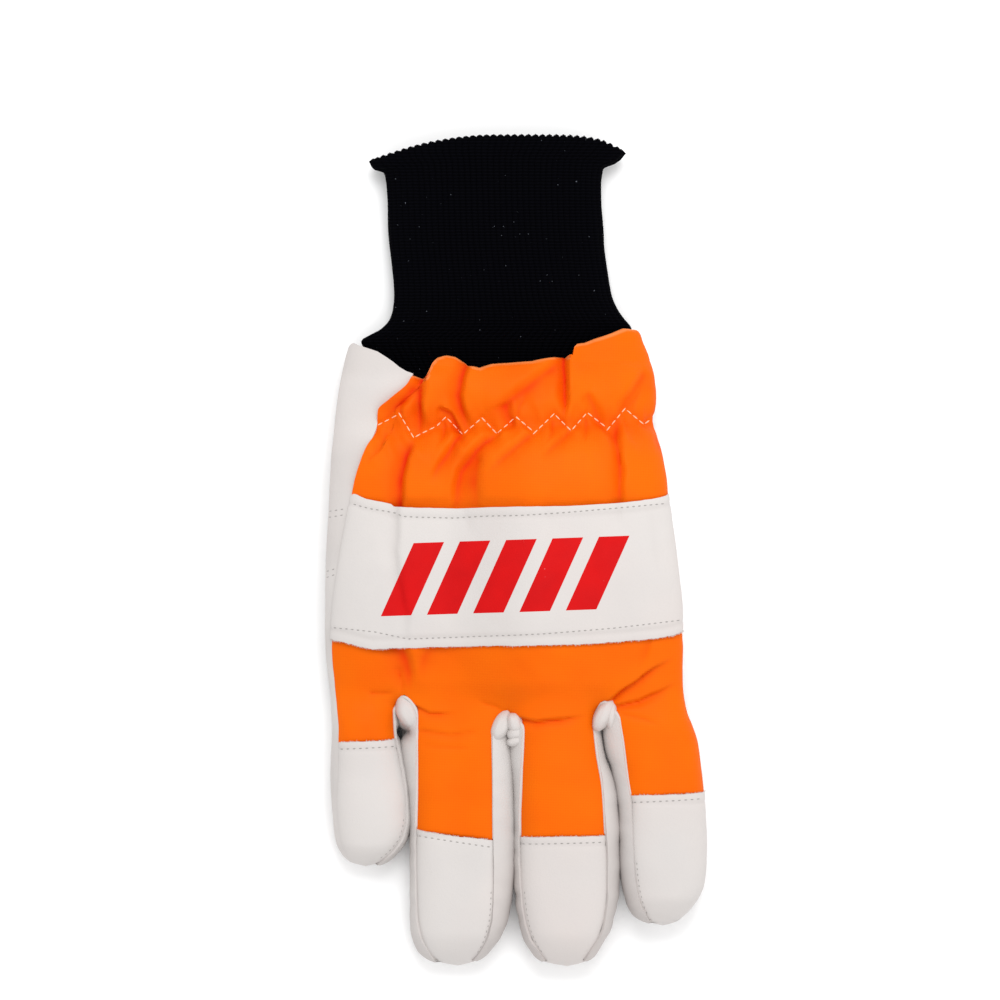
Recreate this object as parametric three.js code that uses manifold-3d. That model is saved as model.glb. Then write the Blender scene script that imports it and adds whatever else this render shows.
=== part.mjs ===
// A right-hand chainsaw work glove, lying palm down with its fingers towards -Y and its knitted cuff
// towards +Y. Millimetres, +Z up. The thumb is folded flat under the palm, which is how the glove lies
// when only its back shows. The leather and cloth pieces are cut from one hollow body: the hand and four
// fingers, each a row of sections across the glove with a rounded top and bottom. Moving that surface in
// or out by a wall gives the cavity, the underside of the padded cloth and the patches sewn on top.
import * as THREE from "three";
import { mergeVertices } from "three/addons/utils/BufferGeometryUtils.js";
import Module from "manifold-3d";

const wasm = await Module();
wasm.setup();

// Lengths along the glove
const CUFF_LENGTH = 60.75; // the knitted cuff that shows, from its lip to the glove's hem
const CUFF_TUCK = 15; // the cuff's sewn end inside the hem
const HAND_LENGTH = 111.6; // from the hem to the crotches of the fingers
const LITTLE_LENGTH = 46.2;
const RING_LENGTH = 76.2;
const MIDDLE_LENGTH = 76.2;
const INDEX_LENGTH = 63.9;
const THUMB_LENGTH = 78;

// Widths across the glove
const LITTLE_WIDTH = 23.6;
const RING_WIDTH = 30.2;
const MIDDLE_WIDTH = 30.7;
const INDEX_WIDTH = 26;
const THUMB_WIDTH = 32;
const CUFF_WIDTH = 66.2;
const FINGER_GAP = 0.8; // between two fingers that lie side by side

// Heights, walls and clearances
const HAND_THICKNESS = 25;
const FINGER_THICKNESS = 17;
const THUMB_THICKNESS = 10.5;
const CUFF_THICKNESS = 12.5;
const LEATHER = 1.5;
const PADDED_BACK = 3.2; // the cloth back with its padding
const KNIT = 2.4;
const PATCH = 1.3; // the leather that lies on the cloth: the knuckle patch and the fingertip caps
const CAP_LAP = 4; // how far the cloth goes on under a cap
const CLEARANCE = 0.3;
const FINGER_SEAM = 5; // how high the palm leather comes up the side of a finger
const SIDE_SEAM = 9; // and up the side of the hand
const FLOOR_BITE = 1.2; // the rounded underside is flat this far up, where the glove rests
const RIB_DEPTH = 0.7;

const CUFF_RIBS = 31;
const CUFF_HOLLOW_SIDES = 20;
const HAND_SIDES = 34;
const FINGER_SIDES = 14;
const THUMB_SIDES = 14;

// The hand's outline and height. along runs from the hem, 0, to the crotches, 1. left, right and seam
// are shares of the palm's width from its middle: the outline and the cloth's left edge. height is a
// share of the hand's thickness, and lift is how much of the thumb's thickness the palm is raised by
// where the thumb lies under it.
const HAND_ROWS = [
  { along: -0.12, left: -0.41, right: 0.35, height: 0.68, lift: 0, seam: -0.3 },
  { along: 0.0, left: -0.433, right: 0.385, height: 0.7, lift: 0, seam: -0.3 },
  { along: 0.06, left: -0.451, right: 0.406, height: 0.76, lift: 0.03, seam: -0.3 },
  { along: 0.14, left: -0.468, right: 0.414, height: 0.84, lift: 0.15, seam: -0.33 },
  { along: 0.22, left: -0.478, right: 0.419, height: 0.8, lift: 0.45, seam: -0.355 },
  { along: 0.32, left: -0.489, right: 0.438, height: 0.94, lift: 0.85, seam: -0.397 },
  { along: 0.43, left: -0.495, right: 0.453, height: 0.99, lift: 1.0, seam: -0.428 },
  { along: 0.6, left: -0.504, right: 0.476, height: 1.0, lift: 1.0, seam: -0.461 },
  { along: 0.72, left: -0.505, right: 0.49, height: 0.96, lift: 1.0, seam: -0.478 },
  { along: 0.82, left: -0.506, right: 0.495, height: 0.88, lift: 1.0, seam: -0.485 },
  { along: 0.92, left: -0.498, right: 0.494, height: 0.78, lift: 0.94, seam: -0.478 },
  { along: 0.99, left: -0.487, right: 0.495, height: 0.7, lift: 0.85, seam: -0.47 },
  { along: 1.035, left: -0.475, right: 0.47, height: 0.6, lift: 0.84, seam: -0.47 },
];
const HAND_STATIONS = [
  -0.12, -0.02, 0.07, 0.14, 0.21, 0.28, 0.38, 0.5, 0.63, 0.75, 0.86, 0.94, 0.99, 1.035,
];

// The fingers' outlines. along runs from the crotch, 0, to the tip, 1. left and right are shares of the
// finger's width from its left line, height is a share of the finger's thickness. The cloth and the cap
// end at the seams.
const LITTLE_ROWS = [
  { along: -0.3, left: -0.06, right: 0.82, height: 0.96, seamLeft: 0.036, seamRight: 0.79 },
  { along: 0, left: -0.014, right: 0.826, height: 1.02, seamLeft: 0.073, seamRight: 0.79 },
  { along: 0.15, left: -0.001, right: 0.841, height: 1.02, seamLeft: 0.095, seamRight: 0.8 },
  { along: 0.3, left: -0.015, right: 0.888, height: 1, seamLeft: 0.1, seamRight: 0.845 },
  { along: 0.45, left: -0.02, right: 0.947, height: 0.98, seamLeft: 0.096, seamRight: 0.9 },
  { along: 0.6, left: -0.009, right: 0.986, height: 0.96, seamLeft: 0.083, seamRight: 0.94 },
  { along: 0.72, left: 0.008, right: 0.993, height: 0.92, seamLeft: 0.09, seamRight: 0.94 },
  { along: 0.82, left: 0.026, right: 0.951, height: 0.86, seamLeft: 0.11, seamRight: 0.9 },
  { along: 0.88, left: 0.055, right: 0.885, height: 0.8, seamLeft: 0.14, seamRight: 0.83 },
  { along: 0.945, left: 0.13, right: 0.77, height: 0.7, seamLeft: 0.2, seamRight: 0.71 },
  { along: 0.98, left: 0.21, right: 0.68, height: 0.6, seamLeft: 0.26, seamRight: 0.63 },
  { along: 1, left: 0.29, right: 0.61, height: 0.5, seamLeft: 0.29, seamRight: 0.6 },
];
const RING_ROWS = [
  { along: -0.2, left: -0.13, right: 0.94, height: 0.98, seamLeft: 0.05, seamRight: 0.79 },
  { along: 0, left: -0.13, right: 0.94, height: 1.05, seamLeft: 0.05, seamRight: 0.79 },
  { along: 0.15, left: -0.1, right: 0.966, height: 1.05, seamLeft: 0.05, seamRight: 0.795 },
  { along: 0.3, left: -0.045, right: 0.99, height: 1.04, seamLeft: 0.05, seamRight: 0.8 },
  { along: 0.45, left: -0.01, right: 1.0, height: 1.01, seamLeft: 0.045, seamRight: 0.8 },
  { along: 0.6, left: 0, right: 0.995, height: 0.98, seamLeft: 0.045, seamRight: 0.805 },
  { along: 0.72, left: 0, right: 0.968, height: 0.94, seamLeft: 0.05, seamRight: 0.8 },
  { along: 0.82, left: 0.003, right: 0.93, height: 0.88, seamLeft: 0.06, seamRight: 0.785 },
  { along: 0.88, left: 0.01, right: 0.87, height: 0.82, seamLeft: 0.085, seamRight: 0.75 },
  { along: 0.945, left: 0.06, right: 0.765, height: 0.71, seamLeft: 0.14, seamRight: 0.69 },
  { along: 0.98, left: 0.13, right: 0.675, height: 0.6, seamLeft: 0.19, seamRight: 0.62 },
  { along: 1, left: 0.2, right: 0.61, height: 0.5, seamLeft: 0.21, seamRight: 0.6 },
];
const MIDDLE_ROWS = [
  { along: -0.2, left: -0.05, right: 0.8, height: 0.98, seamLeft: 0.085, seamRight: 0.75 },
  { along: 0, left: -0.06, right: 0.79, height: 1.05, seamLeft: 0.085, seamRight: 0.75 },
  { along: 0.15, left: -0.04, right: 0.83, height: 1.05, seamLeft: 0.075, seamRight: 0.78 },
  { along: 0.3, left: -0.01, right: 0.95, height: 1.04, seamLeft: 0.06, seamRight: 0.84 },
  { along: 0.45, left: 0, right: 0.995, height: 1.01, seamLeft: 0.05, seamRight: 0.865 },
  { along: 0.6, left: 0.005, right: 1.0, height: 0.98, seamLeft: 0.055, seamRight: 0.885 },
  { along: 0.72, left: 0.018, right: 0.985, height: 0.94, seamLeft: 0.07, seamRight: 0.885 },
  { along: 0.82, left: 0.05, right: 0.938, height: 0.88, seamLeft: 0.1, seamRight: 0.86 },
  { along: 0.88, left: 0.085, right: 0.89, height: 0.82, seamLeft: 0.14, seamRight: 0.82 },
  { along: 0.945, left: 0.16, right: 0.8, height: 0.71, seamLeft: 0.22, seamRight: 0.74 },
  { along: 0.98, left: 0.23, right: 0.71, height: 0.6, seamLeft: 0.28, seamRight: 0.66 },
  { along: 1, left: 0.29, right: 0.65, height: 0.5, seamLeft: 0.3, seamRight: 0.64 },
];
const INDEX_ROWS = [
  { along: -0.25, left: -0.18, right: 0.725, height: 0.97, seamLeft: -0.03, seamRight: 0.9 },
  { along: 0, left: -0.19, right: 0.778, height: 1.04, seamLeft: -0.02, seamRight: 0.95 },
  { along: 0.15, left: -0.165, right: 0.888, height: 1.04, seamLeft: 0.03, seamRight: 1.05 },
  { along: 0.3, left: -0.06, right: 0.943, height: 1.02, seamLeft: 0.08, seamRight: 1.1 },
  { along: 0.45, left: -0.002, right: 0.974, height: 1, seamLeft: 0.135, seamRight: 1.13 },
  { along: 0.6, left: 0.007, right: 0.994, height: 0.97, seamLeft: 0.15, seamRight: 1.15 },
  { along: 0.72, left: 0.016, right: 0.991, height: 0.93, seamLeft: 0.165, seamRight: 1.15 },
  { along: 0.82, left: 0.045, right: 0.968, height: 0.87, seamLeft: 0.19, seamRight: 1.12 },
  { along: 0.88, left: 0.08, right: 0.915, height: 0.81, seamLeft: 0.22, seamRight: 1.06 },
  { along: 0.945, left: 0.155, right: 0.8, height: 0.71, seamLeft: 0.27, seamRight: 0.94 },
  { along: 0.98, left: 0.235, right: 0.71, height: 0.6, seamLeft: 0.32, seamRight: 0.85 },
  { along: 1, left: 0.31, right: 0.65, height: 0.5, seamLeft: 0.33, seamRight: 0.76 },
];
const FINGER_STATIONS = [-0.2, 0.06, 0.3, 0.55, 0.76, 0.88, 0.945, 0.98, 1];

// How much of the hand's lift is left along the fingers, whose tips droop back to the ground.
const FINGER_LIFT_ROWS = [
  { along: 0, lift: 0.84 },
  { along: 0.4, lift: 0.62 },
  { along: 0.8, lift: 0.32 },
  { along: 1, lift: 0.22 },
];

// The thumb under the palm. along runs from its root, 0, to its tip, 1. left and right are shares of its
// width from its left line, and top is its height as a share of its thickness. Near the root it is open
// upwards into the palm.
const THUMB_ROWS = [
  { along: 0.0, left: 0.3, right: 0.74, top: 1.1 },
  { along: 0.05, left: 0.14, right: 0.9, top: 1.6 },
  { along: 0.12, left: 0.06, right: 0.98, top: 1.9 },
  { along: 0.28, left: 0.01, right: 1.0, top: 1.9 },
  { along: 0.42, left: 0.0, right: 0.99, top: 1.0 },
  { along: 0.6, left: -0.02, right: 0.95, top: 1.0 },
  { along: 0.78, left: -0.03, right: 0.89, top: 1.0 },
  { along: 0.88, left: 0.01, right: 0.83, top: 0.97 },
  { along: 0.95, left: 0.1, right: 0.72, top: 0.86 },
  { along: 0.985, left: 0.22, right: 0.6, top: 0.68 },
  { along: 1.0, left: 0.34, right: 0.47, top: 0.5 },
];
const THUMB_STATIONS = [0, 0.05, 0.14, 0.28, 0.42, 0.6, 0.78, 0.9, 0.96, 1];

// The knitted cuff. along runs from the hem, 0, to the lip, 1. left and right are shares of the cuff's
// width from its middle, low and high shares of its thickness, leftBow and rightBow how far a row's ends
// lie back from its middle.
const CUFF_ROWS = [
  { along: -0.3, left: -0.6, right: 0.57, low: 0.2, high: 0.72, leftBow: 0, rightBow: 0 },
  { along: -0.08, left: -0.59, right: 0.58, low: 0.17, high: 0.74, leftBow: 0, rightBow: 0 },
  { along: 0.05, left: -0.53, right: 0.6, low: 0.17, high: 0.8, leftBow: 0, rightBow: 0 },
  { along: 0.1, left: -0.49, right: 0.59, low: 0.12, high: 0.84, leftBow: 0, rightBow: 0 },
  { along: 0.15, left: -0.468, right: 0.56, low: 0.06, high: 0.88, leftBow: 0, rightBow: 0 },
  { along: 0.22, left: -0.46, right: 0.535, low: 0.04, high: 0.92, leftBow: 0, rightBow: 0 },
  { along: 0.5, left: -0.48, right: 0.499, low: 0.03, high: 0.92, leftBow: 0.01, rightBow: 0.01 },
  { along: 0.76, left: -0.492, right: 0.487, low: 0.03, high: 0.93, leftBow: 0.03, rightBow: 0.02 },
  { along: 0.88, left: -0.505, right: 0.495, low: 0.02, high: 0.97, leftBow: 0.06, rightBow: 0.04 },
  { along: 0.94, left: -0.55, right: 0.55, low: 0.01, high: 1.02, leftBow: 0.1, rightBow: 0.07 },
  { along: 1.0, left: -0.575, right: 0.6, low: 0.01, high: 1.06, leftBow: 0.13, rightBow: 0.09 },
];
const CUFF_STATIONS = [-1, 0, 0.06, 0.14, 0.3, 0.76, 0.88, 0.94, 1]; // -1 is the end of the tuck

// The cloth's hem and left edge, as far as the left seam takes over: across is a share of the palm's
// width from its middle, along as in HAND_ROWS.
const HEM_POINTS = [
  { across: 0.6, along: -0.022 },
  { across: 0.348, along: -0.022 },
  { across: 0.272, along: -0.003 },
  { across: 0.194, along: 0.013 },
  { across: 0.18, along: 0.035 },
  { across: 0.125, along: 0.048 },
  { across: 0.01, along: 0.067 },
  { across: -0.071, along: 0.086 },
  { across: -0.115, along: 0.065 },
  { across: -0.165, along: 0.042 },
  { across: -0.2, along: 0.065 },
  { across: -0.214, along: 0.105 },
  { across: -0.263, along: 0.099 },
  { across: -0.269, along: 0.12 },
  { across: -0.32, along: 0.163 },
  { across: -0.352, along: 0.192 },
  { across: -0.358, along: 0.234 },
];
// The palm leather's wrist edge, with the flap that it turns over the back at the left.
const FLAP_POINTS = [
  { across: -0.6, along: 0.011 },
  { across: -0.433, along: 0.011 },
  { across: -0.358, along: 0.035 },
  { across: -0.319, along: 0.059 },
  { across: -0.285, along: 0.086 },
  { across: -0.26, along: 0.095 },
];
const WRIST_EDGE = -0.02; // the palm leather's wrist edge on the underside

// The knuckle patch's edges, at its left end, middle and right end, as shares of the hand's length.
const PATCH_UPPER = [0.419, 0.453, 0.419];
const PATCH_LOWER = [0.806, 0.832, 0.782];

// The gathered cloth's main folds: a valley from (x1, y1) to (x2, y2), across and along as above, with
// its half width as a share of the palm's width and its depth as a share of the hand's thickness.
const FOLD_ROWS = [
  { x1: -0.216, y1: -0.05, x2: -0.222, y2: 0.28, half: 0.042, depth: 0.15 },
  { x1: -0.26, y1: 0.2, x2: -0.3, y2: 0.5, half: 0.04, depth: 0.1 },
  { x1: -0.085, y1: -0.05, x2: -0.115, y2: 0.26, half: 0.04, depth: 0.11 },
  { x1: 0.18, y1: -0.05, x2: 0.184, y2: 0.22, half: 0.038, depth: 0.13 },
  { x1: 0.33, y1: 0.15, x2: 0.325, y2: 0.44, half: 0.04, depth: 0.07 },
  { x1: -0.34, y1: 0.8, x2: -0.27, y2: 1.0, half: 0.04, depth: 0.08 },
];

// Where everything stands
const total = CUFF_LENGTH + HAND_LENGTH + Math.max(RING_LENGTH, MIDDLE_LENGTH);
const hemY = total / 2 - CUFF_LENGTH + PATCH / 2;
const crotchY = hemY - HAND_LENGTH;
const fingersWidth = LITTLE_WIDTH + RING_WIDTH + MIDDLE_WIDTH + INDEX_WIDTH + 3 * FINGER_GAP;
const palmWidth = 0.953 * fingersWidth;
const palmMiddle = -0.036 * palmWidth;
const cuffMiddle = palmMiddle - 0.031 * palmWidth;
const thumbLine = palmMiddle + 0.15 * palmWidth;
const thumbRootY = hemY - 0.27 * HAND_LENGTH;
const thumbLift = THUMB_THICKNESS + 2 * CLEARANCE + FLOOR_BITE;
const WIDE = fingersWidth;
const FAR = 300;

// capLeft and capRight are where a fingertip cap's upper edge meets the seams at its two sides.
const little = { name: "little", rows: LITTLE_ROWS, length: LITTLE_LENGTH, width: LITTLE_WIDTH };
const ringFinger = { name: "ring", rows: RING_ROWS, length: RING_LENGTH, width: RING_WIDTH };
const middle = { name: "middle", rows: MIDDLE_ROWS, length: MIDDLE_LENGTH, width: MIDDLE_WIDTH };
const index = { name: "index", rows: INDEX_ROWS, length: INDEX_LENGTH, width: INDEX_WIDTH };
const FINGERS = [
  Object.assign(little, { capLeft: 0.212, capRight: 0.195 }),
  Object.assign(ringFinger, { capLeft: 0.472, capRight: 0.513 }),
  Object.assign(middle, { capLeft: 0.5, capRight: 0.492 }),
  Object.assign(index, { capLeft: 0.399, capRight: 0.383 }),
];
let line = palmMiddle - 0.486 * palmWidth;
for (const finger of FINGERS) {
  finger.line = line;
  line += finger.width + FINGER_GAP;
}

const handX = (share) => palmMiddle + share * palmWidth;
const handY = (along) => hemY - along * HAND_LENGTH;
const alongHand = (y) => (hemY - y) / HAND_LENGTH;
const fingerX = (finger, share) => finger.line + share * finger.width;
const fingerY = (finger, along) => crotchY - along * finger.length;

// A smooth curve through a column of a table, which never goes past the column's values.
const curves = new Map();
function curve(rows, column, at) {
  if (!curves.has(rows)) curves.set(rows, new Map());
  const known = curves.get(rows);
  if (!known.has(column)) {
    const x = rows.map((row) => row.along);
    const y = rows.map((row) => row[column]);
    const slope = x.slice(1).map((v, i) => (y[i + 1] - y[i]) / (v - x[i]));
    const tangent = x.map((v, i) => {
      if (i === 0) return slope[0];
      if (i === slope.length) return slope[i - 1];
      const product = slope[i - 1] * slope[i];
      return product <= 0 ? 0 : (2 * product) / (slope[i - 1] + slope[i]);
    });
    known.set(column, { x, y, tangent });
  }
  const { x, y, tangent } = known.get(column);
  const last = x.length - 1;
  if (at <= x[0]) return y[0];
  if (at >= x[last]) return y[last];
  let i = 0;
  while (at >= x[i + 1]) i += 1;
  const h = x[i + 1] - x[i];
  const t = (at - x[i]) / h;
  const blend = t * t * (3 - 2 * t);
  const between = y[i] * (1 - blend) + y[i + 1] * blend;
  return between + h * t * (1 - t) * (tangent[i] * (1 - t) - tangent[i + 1] * t);
}

function smooth(from, to, x) {
  const t = Math.min(1, Math.max(0, (x - from) / (to - from)));
  return t * t * (3 - 2 * t);
}

// How far the underside is raised by the thumb that lies under it: not at all on the little finger's side.
function underside(x, y) {
  const across = smooth(handX(-0.17), handX(0.1), x);
  const isHand = y > crotchY;
  const lift = isHand
    ? curve(HAND_ROWS, "lift", alongHand(y))
    : curve(FINGER_LIFT_ROWS, "lift", (crotchY - y) / MIDDLE_LENGTH);
  return thumbLift * across * lift;
}

// The depth of the gathers' valleys at a point of the back.
function folds(x, y) {
  const across = (x - palmMiddle) / palmWidth;
  const along = alongHand(y);
  let depth = 0;
  for (const f of FOLD_ROWS) {
    const t = (along - f.y1) / (f.y2 - f.y1);
    if (t > 1) continue;
    const off = (across - f.x1 - (f.x2 - f.x1) * t) / f.half;
    const ends = smooth(1, 0.7, t) * smooth(-0.35, 0.1, t);
    depth += f.depth * Math.exp(-off * off) * ends;
  }
  return depth * HAND_THICKNESS;
}

// The height of the back and of the underside over a point of the plan
const LIFT_SHARE = 0.75; // how much of the lift still shows on the back
const handSection = {
  top: (x, y) =>
    HAND_THICKNESS * curve(HAND_ROWS, "height", alongHand(y)) + LIFT_SHARE * underside(x, y) - folds(x, y),
  bottom: (x, y) => underside(x, y) - FLOOR_BITE,
};
const fingerSection = (finger) => ({
  top: (x, y) => {
    const height = curve(finger.rows, "height", (crotchY - y) / finger.length);
    return FINGER_THICKNESS * height + LIFT_SHARE * underside(x, y);
  },
  bottom: (x, y) => underside(x, y) - FLOOR_BITE,
});
const thumbSection = {
  top: (x, y) => THUMB_THICKNESS * curve(THUMB_ROWS, "top", (thumbRootY - y) / THUMB_LENGTH),
  bottom: () => -FLOOR_BITE,
};

// One ring of points round a section at y, its surface moved out by grow, or in where grow is negative.
function ring(left, right, y, section, grow, sides) {
  const middle = (left + right) / 2;
  const half = Math.max((right - left) / 2 + grow, 0.3);
  return Array.from({ length: sides }, (_, i) => {
    const angle = (2 * Math.PI * i) / sides;
    const c = Math.cos(angle);
    const s = Math.sin(angle);
    const power = s >= 0 ? 2.5 : 3.4;
    const x = middle + half * Math.sign(c) * Math.abs(c) ** (2 / power);
    const onTube = Math.min(right, Math.max(left, x));
    const top = section.top(onTube, y);
    const bottom = section.bottom(onTube, y);
    const widest = bottom + 0.45 * (top - bottom);
    const rise = Math.abs(s) ** (2 / power);
    const z = s >= 0 ? widest + rise * (top + grow - widest) : widest - rise * (widest - bottom + grow);
    return [x, y, Math.max(z, Math.max(0, -grow))];
  });
}

function solid(positions, triangles) {
  const made = (list) =>
    new wasm.Manifold(
      new wasm.Mesh({
        numProp: 3,
        vertProperties: new Float32Array(positions.flat()),
        triVerts: new Uint32Array(list.flat()),
      }),
    );
  const first = made(triangles);
  return first.volume() > 0 ? first : made(triangles.map(([a, b, c]) => [a, c, b]));
}

// A closed solid through rings with the same number of points.
function loft(rings) {
  const sides = rings[0].length;
  const positions = rings.flat();
  const triangles = [];
  for (let r = 0; r + 1 < rings.length; r++) {
    for (let i = 0; i < sides; i++) {
      const a = r * sides + i;
      const b = r * sides + ((i + 1) % sides);
      triangles.push([a, b, a + sides], [b, b + sides, a + sides]);
    }
  }
  for (const r of [0, rings.length - 1]) {
    positions.push([0, 1, 2].map((k) => rings[r].reduce((sum, p) => sum + p[k], 0) / sides));
    const centre = positions.length - 1;
    for (let i = 0; i < sides; i++) {
      const a = r * sides + i;
      const b = r * sides + ((i + 1) % sides);
      triangles.push(r === 0 ? [b, a, centre] : [a, b, centre]);
    }
  }
  return solid(positions, triangles);
}

function fromGeometry(geometry) {
  geometry.deleteAttribute("normal");
  geometry.deleteAttribute("uv");
  const merged = mergeVertices(geometry, 1e-4);
  const at = merged.attributes.position;
  const positions = Array.from({ length: at.count }, (_, i) => [at.getX(i), at.getY(i), at.getZ(i)]);
  const index = Array.from(merged.index.array);
  const triangles = [];
  for (let i = 0; i < index.length; i += 3) triangles.push(index.slice(i, i + 3));
  return solid(positions, triangles);
}

// An upright prism over a plan outline.
function prism(outline) {
  const shape = new THREE.Shape(outline.map(([x, y]) => new THREE.Vector2(x, y)));
  const geometry = new THREE.ExtrudeGeometry(shape, { depth: 2 * FAR, bevelEnabled: false });
  return fromGeometry(geometry.translate(0, 0, -FAR));
}

// A plan outline moved outwards by a distance.
function widened(outline, distance) {
  const area = outline.reduce((sum, [x, y], i) => {
    const [nx, ny] = outline[(i + 1) % outline.length];
    return sum + x * ny - nx * y;
  }, 0);
  const turn = Math.sign(area);
  return outline.map(([x, y], i) => {
    const [px, py] = outline[(i + outline.length - 1) % outline.length];
    const [nx, ny] = outline[(i + 1) % outline.length];
    const before = new THREE.Vector2(x - px, y - py).normalize();
    const after = new THREE.Vector2(nx - x, ny - y).normalize();
    const out = new THREE.Vector2(before.y + after.y, -before.x - after.x);
    const scale = (2 * distance * turn) / Math.max(out.lengthSq(), 0.6);
    return [x + out.x * scale, y + out.y * scale];
  });
}

// Everything above a height that changes over the plan.
function above(height) {
  const across = 8;
  const down = 14;
  const xAt = (i) => WIDE * (i / across - 0.5) * 1.3;
  const yAt = (j) => hemY + 40 - ((total + 20) * j) / down;
  const positions = [];
  for (const isTop of [false, true]) {
    for (let j = 0; j <= down; j++) {
      for (let i = 0; i <= across; i++) {
        positions.push([xAt(i), yAt(j), isTop ? FAR : height(xAt(i), yAt(j))]);
      }
    }
  }
  const at = (i, j, k) => k * (across + 1) * (down + 1) + j * (across + 1) + i;
  const triangles = [];
  const quad = (a, b, c, d) => triangles.push([a, b, c], [a, c, d]);
  for (let j = 0; j < down; j++) {
    for (let i = 0; i < across; i++) {
      quad(at(i, j, 1), at(i, j + 1, 1), at(i + 1, j + 1, 1), at(i + 1, j, 1));
      quad(at(i, j, 0), at(i + 1, j, 0), at(i + 1, j + 1, 0), at(i, j + 1, 0));
    }
  }
  for (let i = 0; i < across; i++) {
    quad(at(i, 0, 0), at(i, 0, 1), at(i + 1, 0, 1), at(i + 1, 0, 0));
    quad(at(i, down, 0), at(i + 1, down, 0), at(i + 1, down, 1), at(i, down, 1));
  }
  for (let j = 0; j < down; j++) {
    quad(at(0, j, 0), at(0, j + 1, 0), at(0, j + 1, 1), at(0, j, 1));
    quad(at(across, j, 0), at(across, j, 1), at(across, j + 1, 1), at(across, j + 1, 0));
  }
  return solid(positions, triangles);
}

// The hand, a finger, the thumb and all of the glove's body as closed tubes
function handTube(grow) {
  return loft(
    HAND_STATIONS.map((along, i) => {
      const isFirst = i === 0;
      const isLast = i === HAND_STATIONS.length - 1;
      const y = handY(along) - (isLast ? grow : 0) + (isFirst ? Math.abs(grow) : 0);
      const left = handX(curve(HAND_ROWS, "left", along));
      const right = handX(curve(HAND_ROWS, "right", along));
      return ring(left, right, y, handSection, grow, HAND_SIDES);
    }),
  );
}
function fingerTube(finger, grow) {
  const section = fingerSection(finger);
  return loft(
    FINGER_STATIONS.map((along, i) => {
      const isLast = i === FINGER_STATIONS.length - 1;
      const left = fingerX(finger, curve(finger.rows, "left", along));
      const right = fingerX(finger, curve(finger.rows, "right", along));
      const tipMove = isLast ? Math.min(grow, grow / 2) : 0;
      return ring(left, right, fingerY(finger, along) - tipMove, section, grow, FINGER_SIDES);
    }),
  );
}
function thumbTube(grow) {
  return loft(
    THUMB_STATIONS.map((along, i) => {
      const end = i === 0 ? grow : i === THUMB_STATIONS.length - 1 ? -grow : 0;
      const left = thumbLine + THUMB_WIDTH * curve(THUMB_ROWS, "left", along);
      const right = thumbLine + THUMB_WIDTH * curve(THUMB_ROWS, "right", along);
      return ring(left, right, thumbRootY - along * THUMB_LENGTH + end, thumbSection, grow, THUMB_SIDES);
    }),
  );
}
const body = (grow) =>
  FINGERS.reduce((joined, finger) => joined.add(fingerTube(finger, grow)), handTube(grow));

// A finger's seam, or another column of its table, as plan points from one place along it to another.
function fingerLine(finger, column, from, to, steps) {
  return Array.from({ length: steps + 1 }, (_, i) => {
    const along = from + ((to - from) * i) / steps;
    return [fingerX(finger, curve(finger.rows, column, along)), fingerY(finger, along)];
  });
}
const point = (p) => [handX(p.across), handY(p.along)];
const handSeam = (from, to, steps) =>
  Array.from({ length: steps + 1 }, (_, i) => {
    const along = from + ((to - from) * i) / steps;
    return [handX(curve(HAND_ROWS, "seam", along)), handY(along)];
  });

// The cloth back: the hem, the left seam, then down and up each finger, and round the hand's right side.
const CROTCHES = [
  { left: little, right: ringFinger, top: -0.04, from: 0 },
  { left: ringFinger, right: middle, top: 0.005, from: 0.06 },
  { left: middle, right: index, top: -0.03, from: 0.03 },
];
function crotchTop(crotch) {
  const leftSeam = fingerX(crotch.left, crotch.left.rows[1].seamRight);
  const rightSeam = fingerX(crotch.right, crotch.right.rows[1].seamLeft);
  return [(leftSeam + rightSeam) / 2, crotchY - crotch.top * HAND_LENGTH];
}
function backOutline() {
  const outline = [...HEM_POINTS.map(point), ...handSeam(0.32, 0.98, 5)];
  FINGERS.forEach((finger, i) => {
    const leftEnd = finger.capLeft + CAP_LAP / finger.length;
    const rightEnd = finger.capRight + CAP_LAP / finger.length;
    outline.push(...fingerLine(finger, "seamLeft", i > 0 ? CROTCHES[i - 1].from : 0, leftEnd, 4));
    outline.push(...fingerLine(finger, "seamRight", rightEnd, i < 3 ? CROTCHES[i].from : 0, 4));
    if (i < 3) outline.push(crotchTop(CROTCHES[i]));
  });
  outline.push([handX(0.6), handY(0.8)]);
  return outline;
}
// Where a seam is carried on past the fingertip, so that an outline takes in all of the tip.
const TIP_REACH = 4;
function pastTip(finger, column) {
  return [fingerX(finger, curve(finger.rows, column, 1)), fingerY(finger, 1) - TIP_REACH];
}
function capOutline(finger) {
  return [
    ...fingerLine(finger, "seamLeft", finger.capLeft, 1, 6),
    pastTip(finger, "seamLeft"),
    pastTip(finger, "seamRight"),
    ...fingerLine(finger, "seamRight", 1, finger.capRight, 6),
  ];
}
function fourchetteOutline({ left, right, top, from }) {
  const leftTip = pastTip(left, "seamRight");
  const rightTip = pastTip(right, "seamLeft");
  const offset = FINGER_GAP / 2 + LEATHER;
  const betweenX = left.length > right.length ? fingerX(left, 1) + offset : fingerX(right, 0) - offset;
  return [
    crotchTop({ left, right, top }),
    ...fingerLine(left, "seamRight", from, 1, 8),
    leftTip,
    [betweenX, leftTip[1]],
    [betweenX, rightTip[1]],
    rightTip,
    ...fingerLine(right, "seamLeft", 1, from, 8),
  ];
}
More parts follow.
